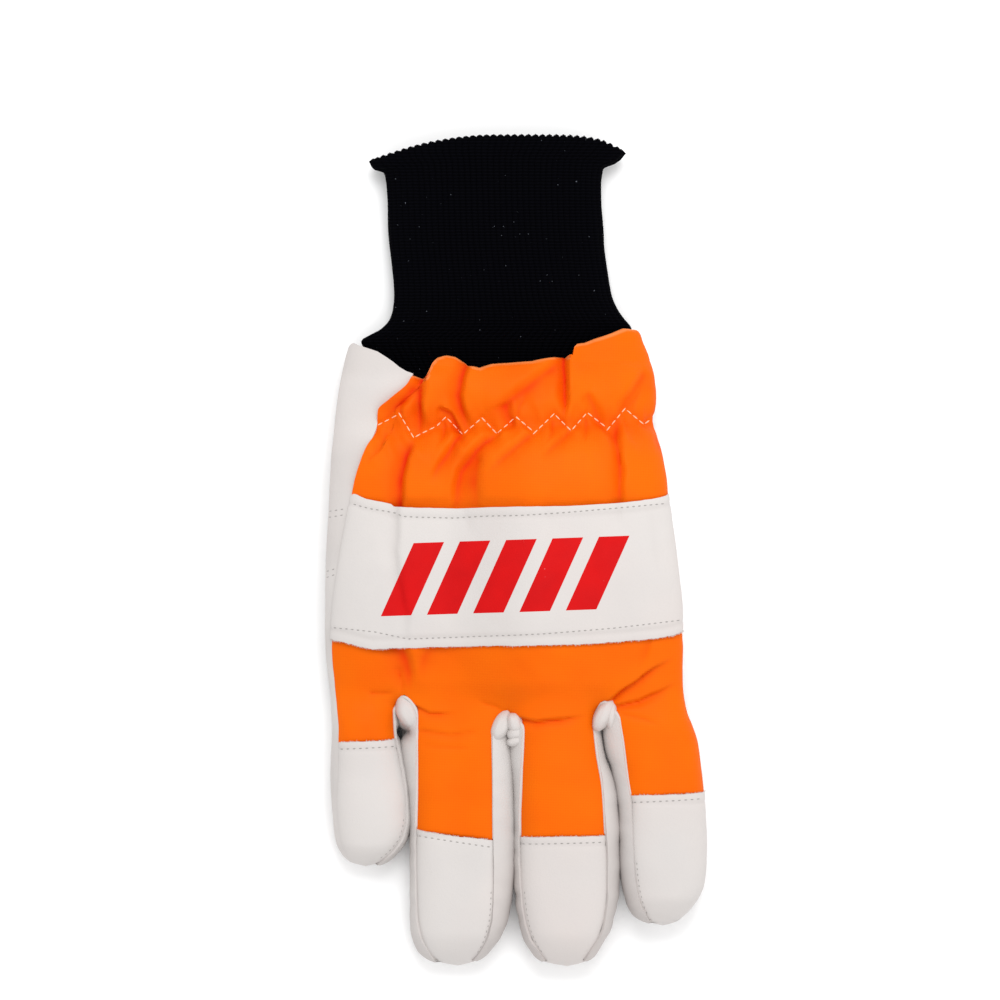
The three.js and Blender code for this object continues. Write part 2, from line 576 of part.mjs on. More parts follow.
function patchOutline() {
  const edge = ([left, mid, right]) => [
    [handX(curve(HAND_ROWS, "seam", left)), handY(left)],
    [handX(-0.28), handY(left + 0.8 * (mid - left))],
    [handX(0), handY(mid)],
    [handX(0.28), handY(right + 0.5 * (mid - right))],
    [handX(0.6), handY(right)],
  ];
  return [...edge(PATCH_UPPER), ...edge(PATCH_LOWER).reverse(), ...handSeam(0.72, 0.5, 2)];
}

// The heights above which the cloth and the strips between the fingers begin
function seamHeight(x, y) {
  const fingerShare = y > crotchY ? smooth(0.6, 1, alongHand(y)) : 1;
  return underside(x, y) + SIDE_SEAM + (FINGER_SEAM - SIDE_SEAM) * fingerShare;
}
const overSeam = above(seamHeight);
const overSeamLow = above((x, y) => seamHeight(x, y) - CLEARANCE);
const region = (outline) => prism(outline).intersect(overSeam);
const wideRegion = (outline, by) => prism(widened(outline, by)).intersect(overSeamLow);

const outer = body(0);
const leatherHollow = body(-LEATHER);
const leatherShell = outer.subtract(leatherHollow);
const justOver = body(CLEARANCE);
const patchTop = body(PATCH + CLEARANCE);

const backRegion = region(backOutline());
const backRegionWide = wideRegion(backOutline(), CLEARANCE);
const back = outer.subtract(body(-PADDED_BACK)).intersect(backRegion);

const capShell = patchTop.subtract(body(CLEARANCE + PATCH - LEATHER - 0.3));
const underCaps = justOver.intersect(backRegionWide);
const caps = FINGERS.map((finger) => capShell.intersect(region(capOutline(finger))).subtract(underCaps));
const capRegionsWide = FINGERS.map((finger) => wideRegion(capOutline(finger), CLEARANCE));

const fourchettes = CROTCHES.map((crotch) => {
  const strip = leatherShell.intersect(region(fourchetteOutline(crotch)));
  return [backRegionWide, ...capRegionsWide].reduce((left, other) => left.subtract(other), strip);
});
const fourchetteRegionsWide = CROTCHES.map((crotch) => wideRegion(fourchetteOutline(crotch), CLEARANCE));

const overPatchEdge = above((x, y) => seamHeight(x, y) + 1);
const patch = patchTop.subtract(justOver).intersect(prism(patchOutline())).intersect(overPatchEdge);

const wristOutline = [
  [handX(0.7), handY(WRIST_EDGE)],
  [handX(-0.24), handY(WRIST_EDGE)],
  ...FLAP_POINTS.map(point).reverse(),
  [handX(-0.8), handY(0.01)],
  [handX(-0.8), handY(1) - total],
  [handX(0.7), handY(1) - total],
];
const thumbSolid = thumbTube(0);
const thumbHollow = thumbTube(-LEATHER);
const aroundPalm = [backRegionWide, ...capRegionsWide, ...fourchetteRegionsWide, thumbHollow];
const palmAndBack = leatherShell.intersect(prism(wristOutline));
const palm = aroundPalm.reduce((left, other) => left.subtract(other), palmAndBack);
const thumb = thumbSolid.subtract(thumbHollow).subtract(justOver);

// The knitted cuff: a flattened tube whose ribs run along it
function cuffRing(station, grow, sides, ribDepth) {
  const along = station < 0 ? -CUFF_TUCK / CUFF_LENGTH : station;
  const at = (column) => curve(CUFF_ROWS, column, along);
  const left = cuffMiddle + CUFF_WIDTH * at("left");
  const right = cuffMiddle + CUFF_WIDTH * at("right");
  const low = CUFF_THICKNESS * at("low");
  const high = CUFF_THICKNESS * at("high");
  return Array.from({ length: sides }, (_, i) => {
    const angle = (2 * Math.PI * i) / sides;
    const rib = i % 2 === 0 ? 0 : -ribDepth;
    const c = Math.cos(angle);
    const s = Math.sin(angle);
    const across = Math.sign(c) * Math.abs(c) ** (2 / 2.6);
    const up = Math.sign(s) * Math.abs(s) ** (2 / 2.6);
    const x = (left + right) / 2 + ((right - left) / 2 + grow + rib) * across;
    const bow = at(across < 0 ? "leftBow" : "rightBow") * Math.abs(across) ** 3;
    const z = (low + high) / 2 + ((high - low) / 2 + grow + rib) * up;
    return [x, hemY + CUFF_LENGTH * (along - bow), z];
  });
}
const cuffOuter = loft(CUFF_STATIONS.map((station) => cuffRing(station, 0, 2 * CUFF_RIBS, RIB_DEPTH)));
const cuffHollow = loft(
  CUFF_STATIONS.filter((station) => ![0.06, 0.94].includes(station)).map((station, i, list) => {
    const points = cuffRing(station, -KNIT, CUFF_HOLLOW_SIDES, 0);
    const past = i === 0 ? -5 : i === list.length - 1 ? 5 : 0;
    return points.map(([x, y, z]) => [x, y + past, z]);
  }),
);
const cuff = cuffOuter.subtract(cuffHollow);

// The pieces as named meshes
const paint = (color, roughness) => new THREE.MeshStandardMaterial({ color, roughness, metalness: 0 });
const leather = paint(0xe4e0db, 0.65);
const cloth = paint(0xff5c12, 0.7);
const knit = paint(0x08080e, 0.95);
const glove = new THREE.Group();
glove.name = "chainsaw_glove";
function addPiece(name, shape, material) {
  const { vertProperties, triVerts } = shape.getMesh();
  const geometry = new THREE.BufferGeometry();
  geometry.setAttribute("position", new THREE.BufferAttribute(new Float32Array(vertProperties), 3));
  geometry.setIndex(new THREE.BufferAttribute(new Uint32Array(triVerts), 1));
  const mesh = new THREE.Mesh(geometry, material);
  mesh.name = name;
  glove.add(mesh);
}
addPiece("knit_cuff", cuff, knit);
addPiece("palm_leather", palm, leather);
addPiece("back_cloth", back, cloth);
addPiece("knuckle_patch", patch, leather);
FINGERS.forEach((finger, i) => addPiece(`fingertip_cap_${finger.name}`, caps[i], leather));
CROTCHES.forEach(({ left, right }, i) => {
  addPiece(`fourchette_${left.name}_${right.name}`, fourchettes[i], leather);
});
addPiece("thumb_leather", thumb, leather);

export default glove;
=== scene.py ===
"""A chainsaw work glove seen from straight above: orange padded back, off-white leather, black knitted cuff.

Every piece is built in millimetres on the glove's own sections and turned to metres when its mesh is made.
"""

import math

import bmesh
import bpy
import numpy as np
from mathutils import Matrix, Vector
from mathutils.bvhtree import BVHTree


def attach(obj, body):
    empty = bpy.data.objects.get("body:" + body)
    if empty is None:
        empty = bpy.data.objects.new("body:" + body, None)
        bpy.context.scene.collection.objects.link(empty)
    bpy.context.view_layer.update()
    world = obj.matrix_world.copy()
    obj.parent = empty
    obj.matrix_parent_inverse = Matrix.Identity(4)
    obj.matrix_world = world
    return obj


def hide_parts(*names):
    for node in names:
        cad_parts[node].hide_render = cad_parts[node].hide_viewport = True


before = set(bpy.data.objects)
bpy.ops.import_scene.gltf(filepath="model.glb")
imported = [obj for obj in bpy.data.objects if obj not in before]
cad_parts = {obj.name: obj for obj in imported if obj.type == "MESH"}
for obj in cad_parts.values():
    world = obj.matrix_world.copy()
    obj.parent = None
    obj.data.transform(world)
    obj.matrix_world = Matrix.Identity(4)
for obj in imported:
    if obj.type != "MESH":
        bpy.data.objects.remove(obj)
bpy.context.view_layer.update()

MM = 0.001

# Driving sizes, in millimetres.
CUFF_LENGTH, CUFF_TUCK, HAND_LENGTH = 60.75, 13.0, 111.6
LITTLE_LENGTH, RING_LENGTH, MIDDLE_LENGTH, INDEX_LENGTH, THUMB_LENGTH = 46.2, 76.2, 76.2, 63.9, 78.0
LITTLE_WIDTH, RING_WIDTH, MIDDLE_WIDTH, INDEX_WIDTH, THUMB_WIDTH = 23.6, 30.2, 30.7, 26.0, 32.0
CUFF_WIDTH, FINGER_GAP = 66.2, 0.8
HAND_THICKNESS, FINGER_THICKNESS, THUMB_THICKNESS, CUFF_THICKNESS = 25.0, 17.0, 10.5, 12.5
LEATHER, PADDED_BACK, PATCH, CLEARANCE = 1.3, 3.0, 1.3, 0.3
PATCH_WALL, THIN_LEATHER, KNIT_WALL = 1.0, 0.9, 1.6
GATHERED_Y = 30.0  # above this line the cloth is gathered and has its free hem
DEEPEST = 4.0  # no fold goes deeper
FINGER_SEAM, SIDE_SEAM, FLOOR_BITE = 5.0, 9.0, 1.2
LIFT_SHARE = 0.75


def table(columns, rows):
    """A short table with named columns."""
    return dict(zip(columns.split(), np.array(rows, float).T))


HAND = table(
    "along left right height lift",
    [
        (-0.12, -0.41, 0.35, 0.68, 0),
        (0.0, -0.433, 0.385, 0.7, 0),
        (0.06, -0.451, 0.406, 0.76, 0.03),
        (0.14, -0.468, 0.414, 0.84, 0.15),
        (0.22, -0.478, 0.419, 0.82, 0.45),
        (0.32, -0.489, 0.438, 0.94, 0.85),
        (0.43, -0.495, 0.453, 0.99, 1.0),
        (0.6, -0.504, 0.476, 1.0, 1.0),
        (0.72, -0.505, 0.49, 0.96, 1.0),
        (0.82, -0.506, 0.495, 0.88, 1.0),
        (0.92, -0.498, 0.494, 0.78, 0.94),
        (0.99, -0.487, 0.495, 0.71, 0.85),
        (1.1, -0.475, 0.47, 0.66, 0.84),
    ],
)
FINGER_COLUMNS = "along left right height seam_left seam_right"
LITTLE = table(
    FINGER_COLUMNS,
    [
        (-0.3, -0.06, 0.82, 0.96, 0.036, 0.79),
        (0, -0.014, 0.826, 1.02, 0.073, 0.79),
        (0.15, -0.001, 0.841, 1.02, 0.095, 0.8),
        (0.3, -0.015, 0.888, 1, 0.1, 0.845),
        (0.45, -0.02, 0.947, 0.98, 0.096, 0.9),
        (0.6, -0.009, 0.986, 0.97, 0.083, 0.94),
        (0.72, 0.008, 0.993, 0.94, 0.09, 0.94),
        (0.82, 0.026, 0.951, 0.9, 0.11, 0.9),
        (0.88, 0.055, 0.885, 0.87, 0.14, 0.83),
        (0.945, 0.13, 0.77, 0.82, 0.2, 0.71),
        (0.98, 0.23, 0.65, 0.78, 0.28, 0.6),
        (0.995, 0.33, 0.53, 0.76, 0.36, 0.5),
        (1, 0.39, 0.47, 0.75, 0.41, 0.45),
    ],
)
RING = table(
    FINGER_COLUMNS,
    [
        (-0.2, -0.13, 0.94, 0.98, 0.05, 0.79),
        (0, -0.13, 0.94, 1.05, 0.05, 0.79),
        (0.15, -0.1, 0.966, 1.05, 0.05, 0.795),
        (0.3, -0.045, 0.99, 1.04, 0.05, 0.8),
        (0.45, -0.01, 1.0, 1.01, 0.045, 0.8),
        (0.6, 0, 0.995, 0.98, 0.045, 0.805),
        (0.72, 0, 0.968, 0.96, 0.05, 0.8),
        (0.82, 0.003, 0.93, 0.92, 0.06, 0.785),
        (0.88, 0.01, 0.87, 0.88, 0.085, 0.75),
        (0.945, 0.06, 0.765, 0.82, 0.14, 0.69),
        (0.98, 0.175, 0.655, 0.78, 0.22, 0.61),
        (0.995, 0.31, 0.56, 0.76, 0.34, 0.53),
        (1, 0.4, 0.49, 0.75, 0.42, 0.47),
    ],
)
MIDDLE = table(
    FINGER_COLUMNS,
    [
        (-0.2, -0.05, 0.8, 0.98, 0.085, 0.75),
        (0, -0.06, 0.79, 1.05, 0.085, 0.75),
        (0.15, -0.04, 0.83, 1.05, 0.075, 0.78),
        (0.3, -0.01, 0.95, 1.04, 0.06, 0.84),
        (0.45, 0, 0.995, 1.01, 0.05, 0.865),
        (0.6, 0.005, 1.0, 0.98, 0.055, 0.885),
        (0.72, 0.018, 0.985, 0.96, 0.07, 0.885),
        (0.82, 0.05, 0.938, 0.92, 0.1, 0.86),
        (0.88, 0.085, 0.89, 0.88, 0.14, 0.82),
        (0.945, 0.16, 0.8, 0.82, 0.22, 0.74),
        (0.98, 0.24, 0.715, 0.78, 0.285, 0.675),
        (0.995, 0.36, 0.63, 0.76, 0.39, 0.6),
        (1, 0.45, 0.56, 0.75, 0.47, 0.54),
    ],
)
INDEX = table(
    FINGER_COLUMNS,
    [
        (-0.25, -0.18, 0.725, 0.97, -0.03, 0.9),
        (0, -0.19, 0.778, 1.04, -0.02, 0.95),
        (0.15, -0.165, 0.888, 1.04, 0.03, 1.05),
        (0.3, -0.06, 0.943, 1.02, 0.08, 1.1),
        (0.45, -0.002, 0.974, 1, 0.135, 1.13),
        (0.6, 0.007, 0.994, 0.97, 0.15, 1.15),
        (0.72, 0.016, 0.991, 0.95, 0.165, 1.15),
        (0.82, 0.045, 0.968, 0.91, 0.19, 1.12),
        (0.88, 0.08, 0.915, 0.88, 0.22, 1.06),
        (0.945, 0.155, 0.8, 0.82, 0.27, 0.94),
        (0.98, 0.26, 0.69, 0.78, 0.33, 0.85),
        (0.995, 0.38, 0.6, 0.76, 0.41, 0.76),
        (1, 0.45, 0.53, 0.75, 0.46, 0.7),
    ],
)
FINGER_LIFT = table("along lift", [(0, 0.84), (0.4, 0.62), (0.8, 0.32), (1, 0.22)])
THUMB = table(
    "along left right top",
    [
        (0.0, 0.3, 0.74, 1.1),
        (0.05, 0.14, 0.9, 1.5),
        (0.12, 0.06, 0.98, 1.7),
        (0.28, 0.01, 1.0, 1.5),
        (0.42, 0.0, 0.99, 1.0),
        (0.6, -0.02, 0.95, 1.0),
        (0.78, -0.03, 0.89, 1.0),
        (0.88, 0.01, 0.83, 0.97),
        (0.95, 0.1, 0.72, 0.9),
        (0.985, 0.22, 0.6, 0.84),
        (1.0, 0.34, 0.47, 0.8),
    ],
)
CUFF = table(
    "along left right low high left_bow right_bow",
    [
        (-0.25, -0.46, 0.5, 0.2, 0.5, 0, 0),
        (-0.08, -0.57, 0.56, 0.17, 0.6, 0, 0),
        (-0.01, -0.606, 0.61, 0.17, 0.68, 0, 0),
        (0.02, -0.565, 0.62, 0.17, 0.72, 0, 0),
        (0.05, -0.515, 0.625, 0.17, 0.76, 0, 0),
        (0.1, -0.477, 0.594, 0.12, 0.84, 0, 0),
        (0.15, -0.465, 0.564, 0.06, 0.88, 0, 0),
        (0.22, -0.46, 0.538, 0.04, 0.92, 0, 0),
        (0.5, -0.48, 0.499, 0.03, 0.92, 0.01, 0.01),
        (0.76, -0.492, 0.487, 0.03, 0.93, 0.03, 0.02),
        (0.88, -0.505, 0.495, 0.02, 0.97, 0.06, 0.04),
        (0.94, -0.55, 0.55, 0.01, 1.02, 0.1, 0.07),
        (1.0, -0.575, 0.6, 0.01, 1.06, 0.13, 0.09),
    ],
)
# The cloth's left edge and the wrist flap's edge, as shares of the hand's length and the palm's width.
CLOTH_LEFT = table(
    "along across",
    [
        (0.09, -0.255),
        (0.12, -0.269),
        (0.163, -0.32),
        (0.192, -0.352),
        (0.234, -0.358),
        (0.32, -0.397),
        (0.43, -0.428),
        (0.6, -0.461),
        (0.72, -0.478),
        (0.82, -0.485),
        (0.92, -0.478),
        (1.0, -0.47),
    ],
)
FLAP = table(
    "across along",
    [(-0.44, 0.008), (-0.433, 0.011), (-0.358, 0.035), (-0.319, 0.059), (-0.285, 0.086), (-0.255, 0.096)],
)
# The hem and the edges of the knuckle patch in the plan.
HEM = table(
    "x y",
    [
        (-31.9, 53.4), (-28.3, 52.8), (-26.9, 52.5), (-26.5, 54.3), (-25.4, 57.0), (-23.8, 58.8),
        (-21.7, 59.5), (-19.0, 59.1), (-16.3, 57.7), (-13.9, 56.1), (-11.5, 55.5), (-9.4, 56.3),
        (-7.3, 57.0), (-2.8, 57.2), (4.1, 57.7), (9.5, 58.8), (13.7, 59.7), (15.2, 58.5),
        (15.7, 61.2), (17.0, 62.7), (20.0, 63.2), (25.4, 65.0), (30.8, 66.9), (33.5, 67.6),
        (50.0, 67.8),
    ],
)
PATCH_TOP = table(
    "x y",
    [
        (-49.7, 17.4), (-44.5, 15.9), (-38.8, 15.0), (-35.9, 14.4), (-34.9, 13.6), (-29.5, 13.3),
        (-19.0, 13.0), (-10.3, 13.6), (0.5, 13.8), (14.3, 14.7), (28.4, 15.9), (44.6, 17.4),
    ],
)
PATCH_BOTTOM = table(
    "x y",
    [
        (-55.9, -25.8), (-55.0, -25.8), (-43.0, -26.9), (-33.1, -29.0), (-21.1, -28.5), (7.1, -27.2),
        (28.4, -25.5), (49.1, -23.1),
    ],
)
# The zigzag of the elastic's thread, in the plan.
ZIGZAG = [
    (-41.5, 38.4), (-35.6, 41.4), (-31.3, 34.2), (-29.8, 35.1), (-24.4, 37.8), (-21.7, 40.5),
    (-16.6, 35.2), (-10.9, 40.2), (-6.4, 35.4), (-0.7, 40.5), (4.9, 35.7), (10.7, 41.4),
    (15.8, 36.3), (20.6, 41.8), (26.9, 36.9), (32.0, 43.0), (37.7, 38.2), (41.0, 40.8),
]
# Folds of the gathered cloth, as lines over the plan: half width, depth, the height of the cloth that stands
# up beside the line, on its left where positive, and points.
FOLDS = [
    (1.5, 3.4, 1.4, [(-28.6, 55.0), (-29.3, 48.0), (-29.5, 41.0), (-29.2, 33.5)]),
    (1.9, 1.6, 0.6, [(-29.8, 50.0), (-34.0, 45.3), (-38.5, 41.5), (-42.0, 38.0)]),
    (2.3, 2.3, 1.1, [(-30.4, 35.0), (-33.5, 28.6), (-35.0, 22.0), (-35.5, 15.3), (-35.8, -6.0)]),
    (2.0, 2.2, 1.2, [(-14.6, 58.0), (-16.9, 52.4), (-18.0, 47.0), (-16.6, 41.5), (-14.6, 34.0)]),
    (1.0, 1.5, 0.7, [(-24.2, 43.8), (-20.4, 41.5), (-17.8, 36.0), (-17.0, 32.0)]),
    (1.4, 2.9, 1.7, [(13.7, 63.0), (14.3, 52.5), (14.0, 44.5), (13.4, 37.0)]),
    (2.9, 1.6, -0.7, [(13.6, 57.5), (6.5, 52.0), (0.0, 46.9), (-8.5, 41.0), (-11.0, 37.0)]),
    (1.8, 1.1, 0.5, [(20.0, 48.0), (22.5, 43.5), (25.6, 38.4), (27.0, 34.0)]),
    (2.4, 1.1, -0.4, [(38.5, 55.0), (34.5, 49.0), (31.0, 43.0), (29.0, 37.0)]),
    (2.4, 1.0, 0.4, [(-4.6, 45.0), (-3.0, 41.0), (-1.2, 36.5)]),
    (1.6, 1.5, -0.6, [(-16.8, 36.5), (-21.5, 29.0), (-27.0, 19.5)]),
    (1.9, 2.1, -0.9, [(-5.8, 36.5), (-13.0, 30.0), (-17.3, 24.0), (-18.6, 17.0), (-19.5, 8.0)]),
    (3.4, 1.2, 0.3, [(-12.6, 30.5), (-12.8, 22.5), (-13.5, 9.0)]),
    (1.7, 1.3, -0.6, [(4.6, 36.4), (-3.0, 29.0), (-10.0, 22.5)]),
    (1.5, 1.0, -0.4, [(16.3, 37.4), (11.0, 32.0), (6.0, 27.0)]),
    (1.6, 1.7, 0.8, [(30.4, 41.0), (29.3, 33.5), (30.6, 25.0), (30.4, 17.5), (30.4, 4.0)]),
    (2.0, 0.9, 0, [(40.6, 36.0), (43.6, 28.5), (44.6, 20.0)]),
    (1.0, 0.7, 0.3, [(-38.6, 36.5), (-42.0, 30.0), (-46.0, 25.0)]),
    (1.0, 1.0, 0, [(-35.4, 40.6), (-34.8, 44.6), (-33.0, 48.0)]),
    (0.9, 0.8, 0, [(-21.7, 39.8), (-22.6, 34.5), (-24.5, 30.5)]),
    (0.9, 0.7, 0, [(-0.7, 40.0), (0.6, 44.0), (3.0, 47.5)]),
    (0.9, 0.8, 0, [(10.7, 40.8), (10.0, 35.5), (8.0, 31.0)]),
    (0.9, 0.7, 0, [(20.6, 41.4), (20.8, 36.5), (19.5, 31.5)]),
    (0.9, 0.6, 0, [(32.0, 42.5), (35.0, 46.0), (36.5, 50.0)]),
    (3.4, 1.6, 0.5, [(-38.5, -26.4), (-35.0, -30.0), (-33.0, -36.5), (-32.4, -44.0)]),
    (3.6, 0.9, -0.3, [(-25.0, -26.5), (-28.5, -32.0), (-29.5, -39.0)]),
    (1.2, 0.9, 0, [(-46.9, -26.7), (-40.0, -28.2), (-34.6, -30.9)]),
    (0.9, 1.6, 0.6, [(27.0, -45.2), (31.0, -41.9), (36.5, -38.3), (41.5, -34.6), (48.0, -31.0)]),
    (1.0, 1.2, 0.4, [(28.0, -46.6), (36.0, -44.6), (42.0, -42.2), (49.0, -38.4)]),
    (1.0, 1.3, 0.5, [(-1.5, -49.6), (5.0, -51.0), (12.0, -50.2), (22.5, -49.0)]),
    (0.8, 0.8, 0.3, [(-31.4, -46.4), (-27.0, -48.5), (-22.5, -48.6), (-17.5, -48.0)]),
    (0.8, 0.9, 0, [(-36.4, -35.5), (-35.6, -39.4), (-35.0, -43.5)]),
    (0.7, 0.7, 0, [(-44.1, -42.6), (-40.0, -42.8), (-36.4, -42.4)]),
    (0.9, 0.5, 0.2, [(-29.0, -53.6), (-20.0, -54.9), (-9.0, -53.0)]),
    (0.8, 0.35, 0, [(-28.0, -58.2), (-17.0, -58.8), (-10.0, -59.4)]),
    (0.8, 0.6, 0, [(-10.4, -45.5), (-6.6, -46.7), (-3.5, -48.6)]),
    (0.8, 0.5, 0, [(31.0, -48.4), (38.0, -49.9), (44.0, -52.2)]),
    (1.4, 0.5, 0.2, [(40.0, -25.0), (38.5, -30.0), (36.0, -36.0)]),
]
PATCH_FOLDS = [
    (2.2, 0.9, 0.3, [(-36.1, 24.0), (-37.0, 3.0), (-36.1, -7.8), (-34.0, -18.3), (-34.0, -36.0)]),
    (1.2, 0.4, 0.1, [(29.3, 17.4), (30.0, 6.0)]),
    (2.2, 0.3, 0, [(-16.0, 14.0), (-14.0, 4.0)]),
    (2.6, 0.25, 0, [(8.0, 14.0), (10.0, 6.0)]),
    (3.0, 0.3, 0, [(40.0, 10.0), (42.0, -10.0)]),
]

# Where everything stands.
total = CUFF_LENGTH + HAND_LENGTH + MIDDLE_LENGTH
hem_y = total / 2 - CUFF_LENGTH + PATCH / 2
crotch_y = hem_y - HAND_LENGTH
fingers_width = LITTLE_WIDTH + RING_WIDTH + MIDDLE_WIDTH + INDEX_WIDTH + 3 * FINGER_GAP
palm_width = 0.953 * fingers_width
palm_middle = -0.036 * palm_width
cuff_middle = palm_middle - 0.031 * palm_width
thumb_line = palm_middle + 0.15 * palm_width
thumb_root_y = hem_y - 0.27 * HAND_LENGTH
thumb_lift = THUMB_THICKNESS + 2 * CLEARANCE + FLOOR_BITE


def hand_x(share):
    return palm_middle + share * palm_width


def hand_y(along):
    return hem_y - along * HAND_LENGTH


def along_hand(y):
    return (hem_y - y) / HAND_LENGTH


def curve(rows, column, at, by="along"):
    """A smooth curve through a column of a table, which never goes past the column's values."""
    x, y = rows[by], rows[column]
    slope = np.diff(y) / np.diff(x)
    product, both = slope[:-1] * slope[1:], slope[:-1] + slope[1:]
    inner = np.where(product > 0, 2 * product / np.where(both == 0, 1, both), 0)
    tangent = np.concatenate([slope[:1], inner, slope[-1:]])
    at = np.clip(at, x[0], x[-1])
    i = np.clip(np.searchsorted(x, at, side="right") - 1, 0, len(x) - 2)
    h = x[i + 1] - x[i]
    t = (at - x[i]) / h
    blend = t * t * (3 - 2 * t)
    between = y[i] * (1 - blend) + y[i + 1] * blend
    return between + h * t * (1 - t) * (tangent[i] * (1 - t) - tangent[i + 1] * t)


def smooth(start, end, x):
    """Nothing before start, one past end, and a soft step between them."""
    t = np.clip((x - start) / (end - start), 0, 1)
    return t * t * (3 - 2 * t)


def bell(distance, width):
    """One at no distance, falling softly to nothing past about two widths."""
    return np.exp(-((distance / width) ** 2))


def lattice(seed, i, j):
    """A fixed number from 0 to 1 for each whole place (i, j)."""
    n = np.sin(i * 127.1 + j * 311.7 + seed * 74.7) * 43758.5453
    return n - np.floor(n)


def noise(x, y, size, seed):
    """Smooth noise from -1 to 1 whose bumps are about size apart."""
    u, v = x / size, y / size
    i, j = np.floor(u), np.floor(v)
    s, t = u - i, v - j
    s, t = s * s * (3 - 2 * s), t * t * (3 - 2 * t)
    low = lattice(seed, i, j) * (1 - s) + lattice(seed, i + 1, j) * s
    high = lattice(seed, i, j + 1) * (1 - s) + lattice(seed, i + 1, j + 1) * s
    return 2 * (low * (1 - t) + high * t) - 1


# Sections across the glove.


def underside(x, y):
    """How far the glove is raised by the thumb that lies under it."""
    across = smooth(hand_x(-0.17), hand_x(0.1), x)
    on_hand = curve(HAND, "lift", along_hand(y))
    on_finger = curve(FINGER_LIFT, "lift", (crotch_y - y) / MIDDLE_LENGTH)
    return thumb_lift * across * np.where(y > crotch_y, on_hand, on_finger)


class Hand:
    """The hand, from the hem down to the crotches."""

    def edges(self, y):
        along = along_hand(y)
        return hand_x(curve(HAND, "left", along)), hand_x(curve(HAND, "right", along))

    def heights(self, x, y):
        low = underside(x, y)
        top = HAND_THICKNESS * curve(HAND, "height", along_hand(y)) + LIFT_SHARE * low
        return low - FLOOR_BITE, top


class Finger:
    """A finger, from the crotches down to its tip."""

    def __init__(self, name, rows, length, width, cap_left, cap_right):
        self.name, self.rows, self.length, self.width = name, rows, length, width
        self.cap_left, self.cap_right = cap_left, cap_right
        self.line = 0.0

    def x(self, column, y):
        return self.line + self.width * curve(self.rows, column, (crotch_y - y) / self.length)

    def y(self, along):
        return crotch_y - along * self.length

    def edges(self, y):
        return self.x("left", y), self.x("right", y)

    def heights(self, x, y):
        along = (crotch_y - y) / self.length
        lift = underside(x, y)
        bottom = lift - FLOOR_BITE
        top = FINGER_THICKNESS * curve(self.rows, "height", along) + LIFT_SHARE * lift
        dome = np.sqrt(1 - np.clip((along - 0.87) / 0.13, 0, 1) ** 2)
        middle = bottom + 0.42 * (top - bottom)
        return middle - (middle - bottom) * dome, middle + (top - middle) * dome


class Thumb:
    """The thumb, which lies flat under the palm."""

    def edges(self, y):
        along = (thumb_root_y - y) / THUMB_LENGTH
        return (thumb_line + THUMB_WIDTH * curve(THUMB, "left", along),
                thumb_line + THUMB_WIDTH * curve(THUMB, "right", along))

    def heights(self, x, y):
        along = (thumb_root_y - y) / THUMB_LENGTH
        top = THUMB_THICKNESS * curve(THUMB, "top", along)
        dome = np.sqrt(1 - np.clip((along - 0.86) / 0.14, 0, 1) ** 2)
        middle = 0.42 * top
        return middle - (middle + FLOOR_BITE) * dome, middle + (top - middle) * dome


hand = Hand()
FINGERS = [
    Finger("little", LITTLE, LITTLE_LENGTH, LITTLE_WIDTH, 0.212, 0.195),
    Finger("ring", RING, RING_LENGTH, RING_WIDTH, 0.472, 0.513),
    Finger("middle", MIDDLE, MIDDLE_LENGTH, MIDDLE_WIDTH, 0.5, 0.492),
    Finger("index", INDEX, INDEX_LENGTH, INDEX_WIDTH, 0.399, 0.383),
]
line = palm_middle - 0.486 * palm_width
for finger in FINGERS:
    finger.line = line
    line += finger.width + FINGER_GAP

TOP_POWER, BOTTOM_POWER, WIDEST = 2.5, 3.4, 0.45


def skin(tube, y, angle, grow=0.0):
    """A point of a tube's surface: angle 0 is its right edge, a quarter turn its top."""
    left, right = tube.edges(y)
    half = (right - left) / 2 + grow
    c, s = np.cos(angle), np.sin(angle)
    power = np.where(s >= 0, TOP_POWER, BOTTOM_POWER)
    x = (left + right) / 2 + half * np.sign(c) * np.abs(c) ** (2 / power)
    bottom, top = tube.heights(np.clip(x, left, right), y)
    widest = bottom + WIDEST * (top - bottom)
    rise = np.abs(s) ** (2 / power)
    up = widest + rise * (top + grow - widest)
    down = widest - rise * (widest - bottom + grow)
    z = np.maximum(np.where(s >= 0, up, down), np.maximum(0.0, -grow))
    return np.stack([x, y + 0 * x, z], -1)


def angle_at_x(tube, y, x, below=False):
    """The angle of the point of a tube's top, or underside, over a place across it."""
    left, right = tube.edges(y)
    n = np.clip((x - (left + right) / 2) / ((right - left) / 2), -0.98, 0.98)
    power = BOTTOM_POWER if below else TOP_POWER
    angle = np.arccos(np.sign(n) * np.abs(n) ** (power / 2))
    return 2 * np.pi - angle if below else angle


def angle_at_height(tube, y, height, on_left):
    """The angle of the point of a tube's side wall that is this high above its underside."""
    left, right = tube.edges(y)
    bottom, top = tube.heights(left if on_left else right, y)
    widest = bottom + WIDEST * (top - bottom)
    z = np.clip(bottom + FLOOR_BITE + height, bottom + 0.05 * (top - bottom), top)
    over = np.clip((z - widest) / np.maximum(top - widest, 0.1), 0, 1)
    under = np.clip((widest - z) / np.maximum(widest - bottom, 0.1), 0, 1)
    angle = np.arcsin(over ** (TOP_POWER / 2)) - np.arcsin(under ** (BOTTOM_POWER / 2))
    return np.pi - angle if on_left else angle


# Meshes.


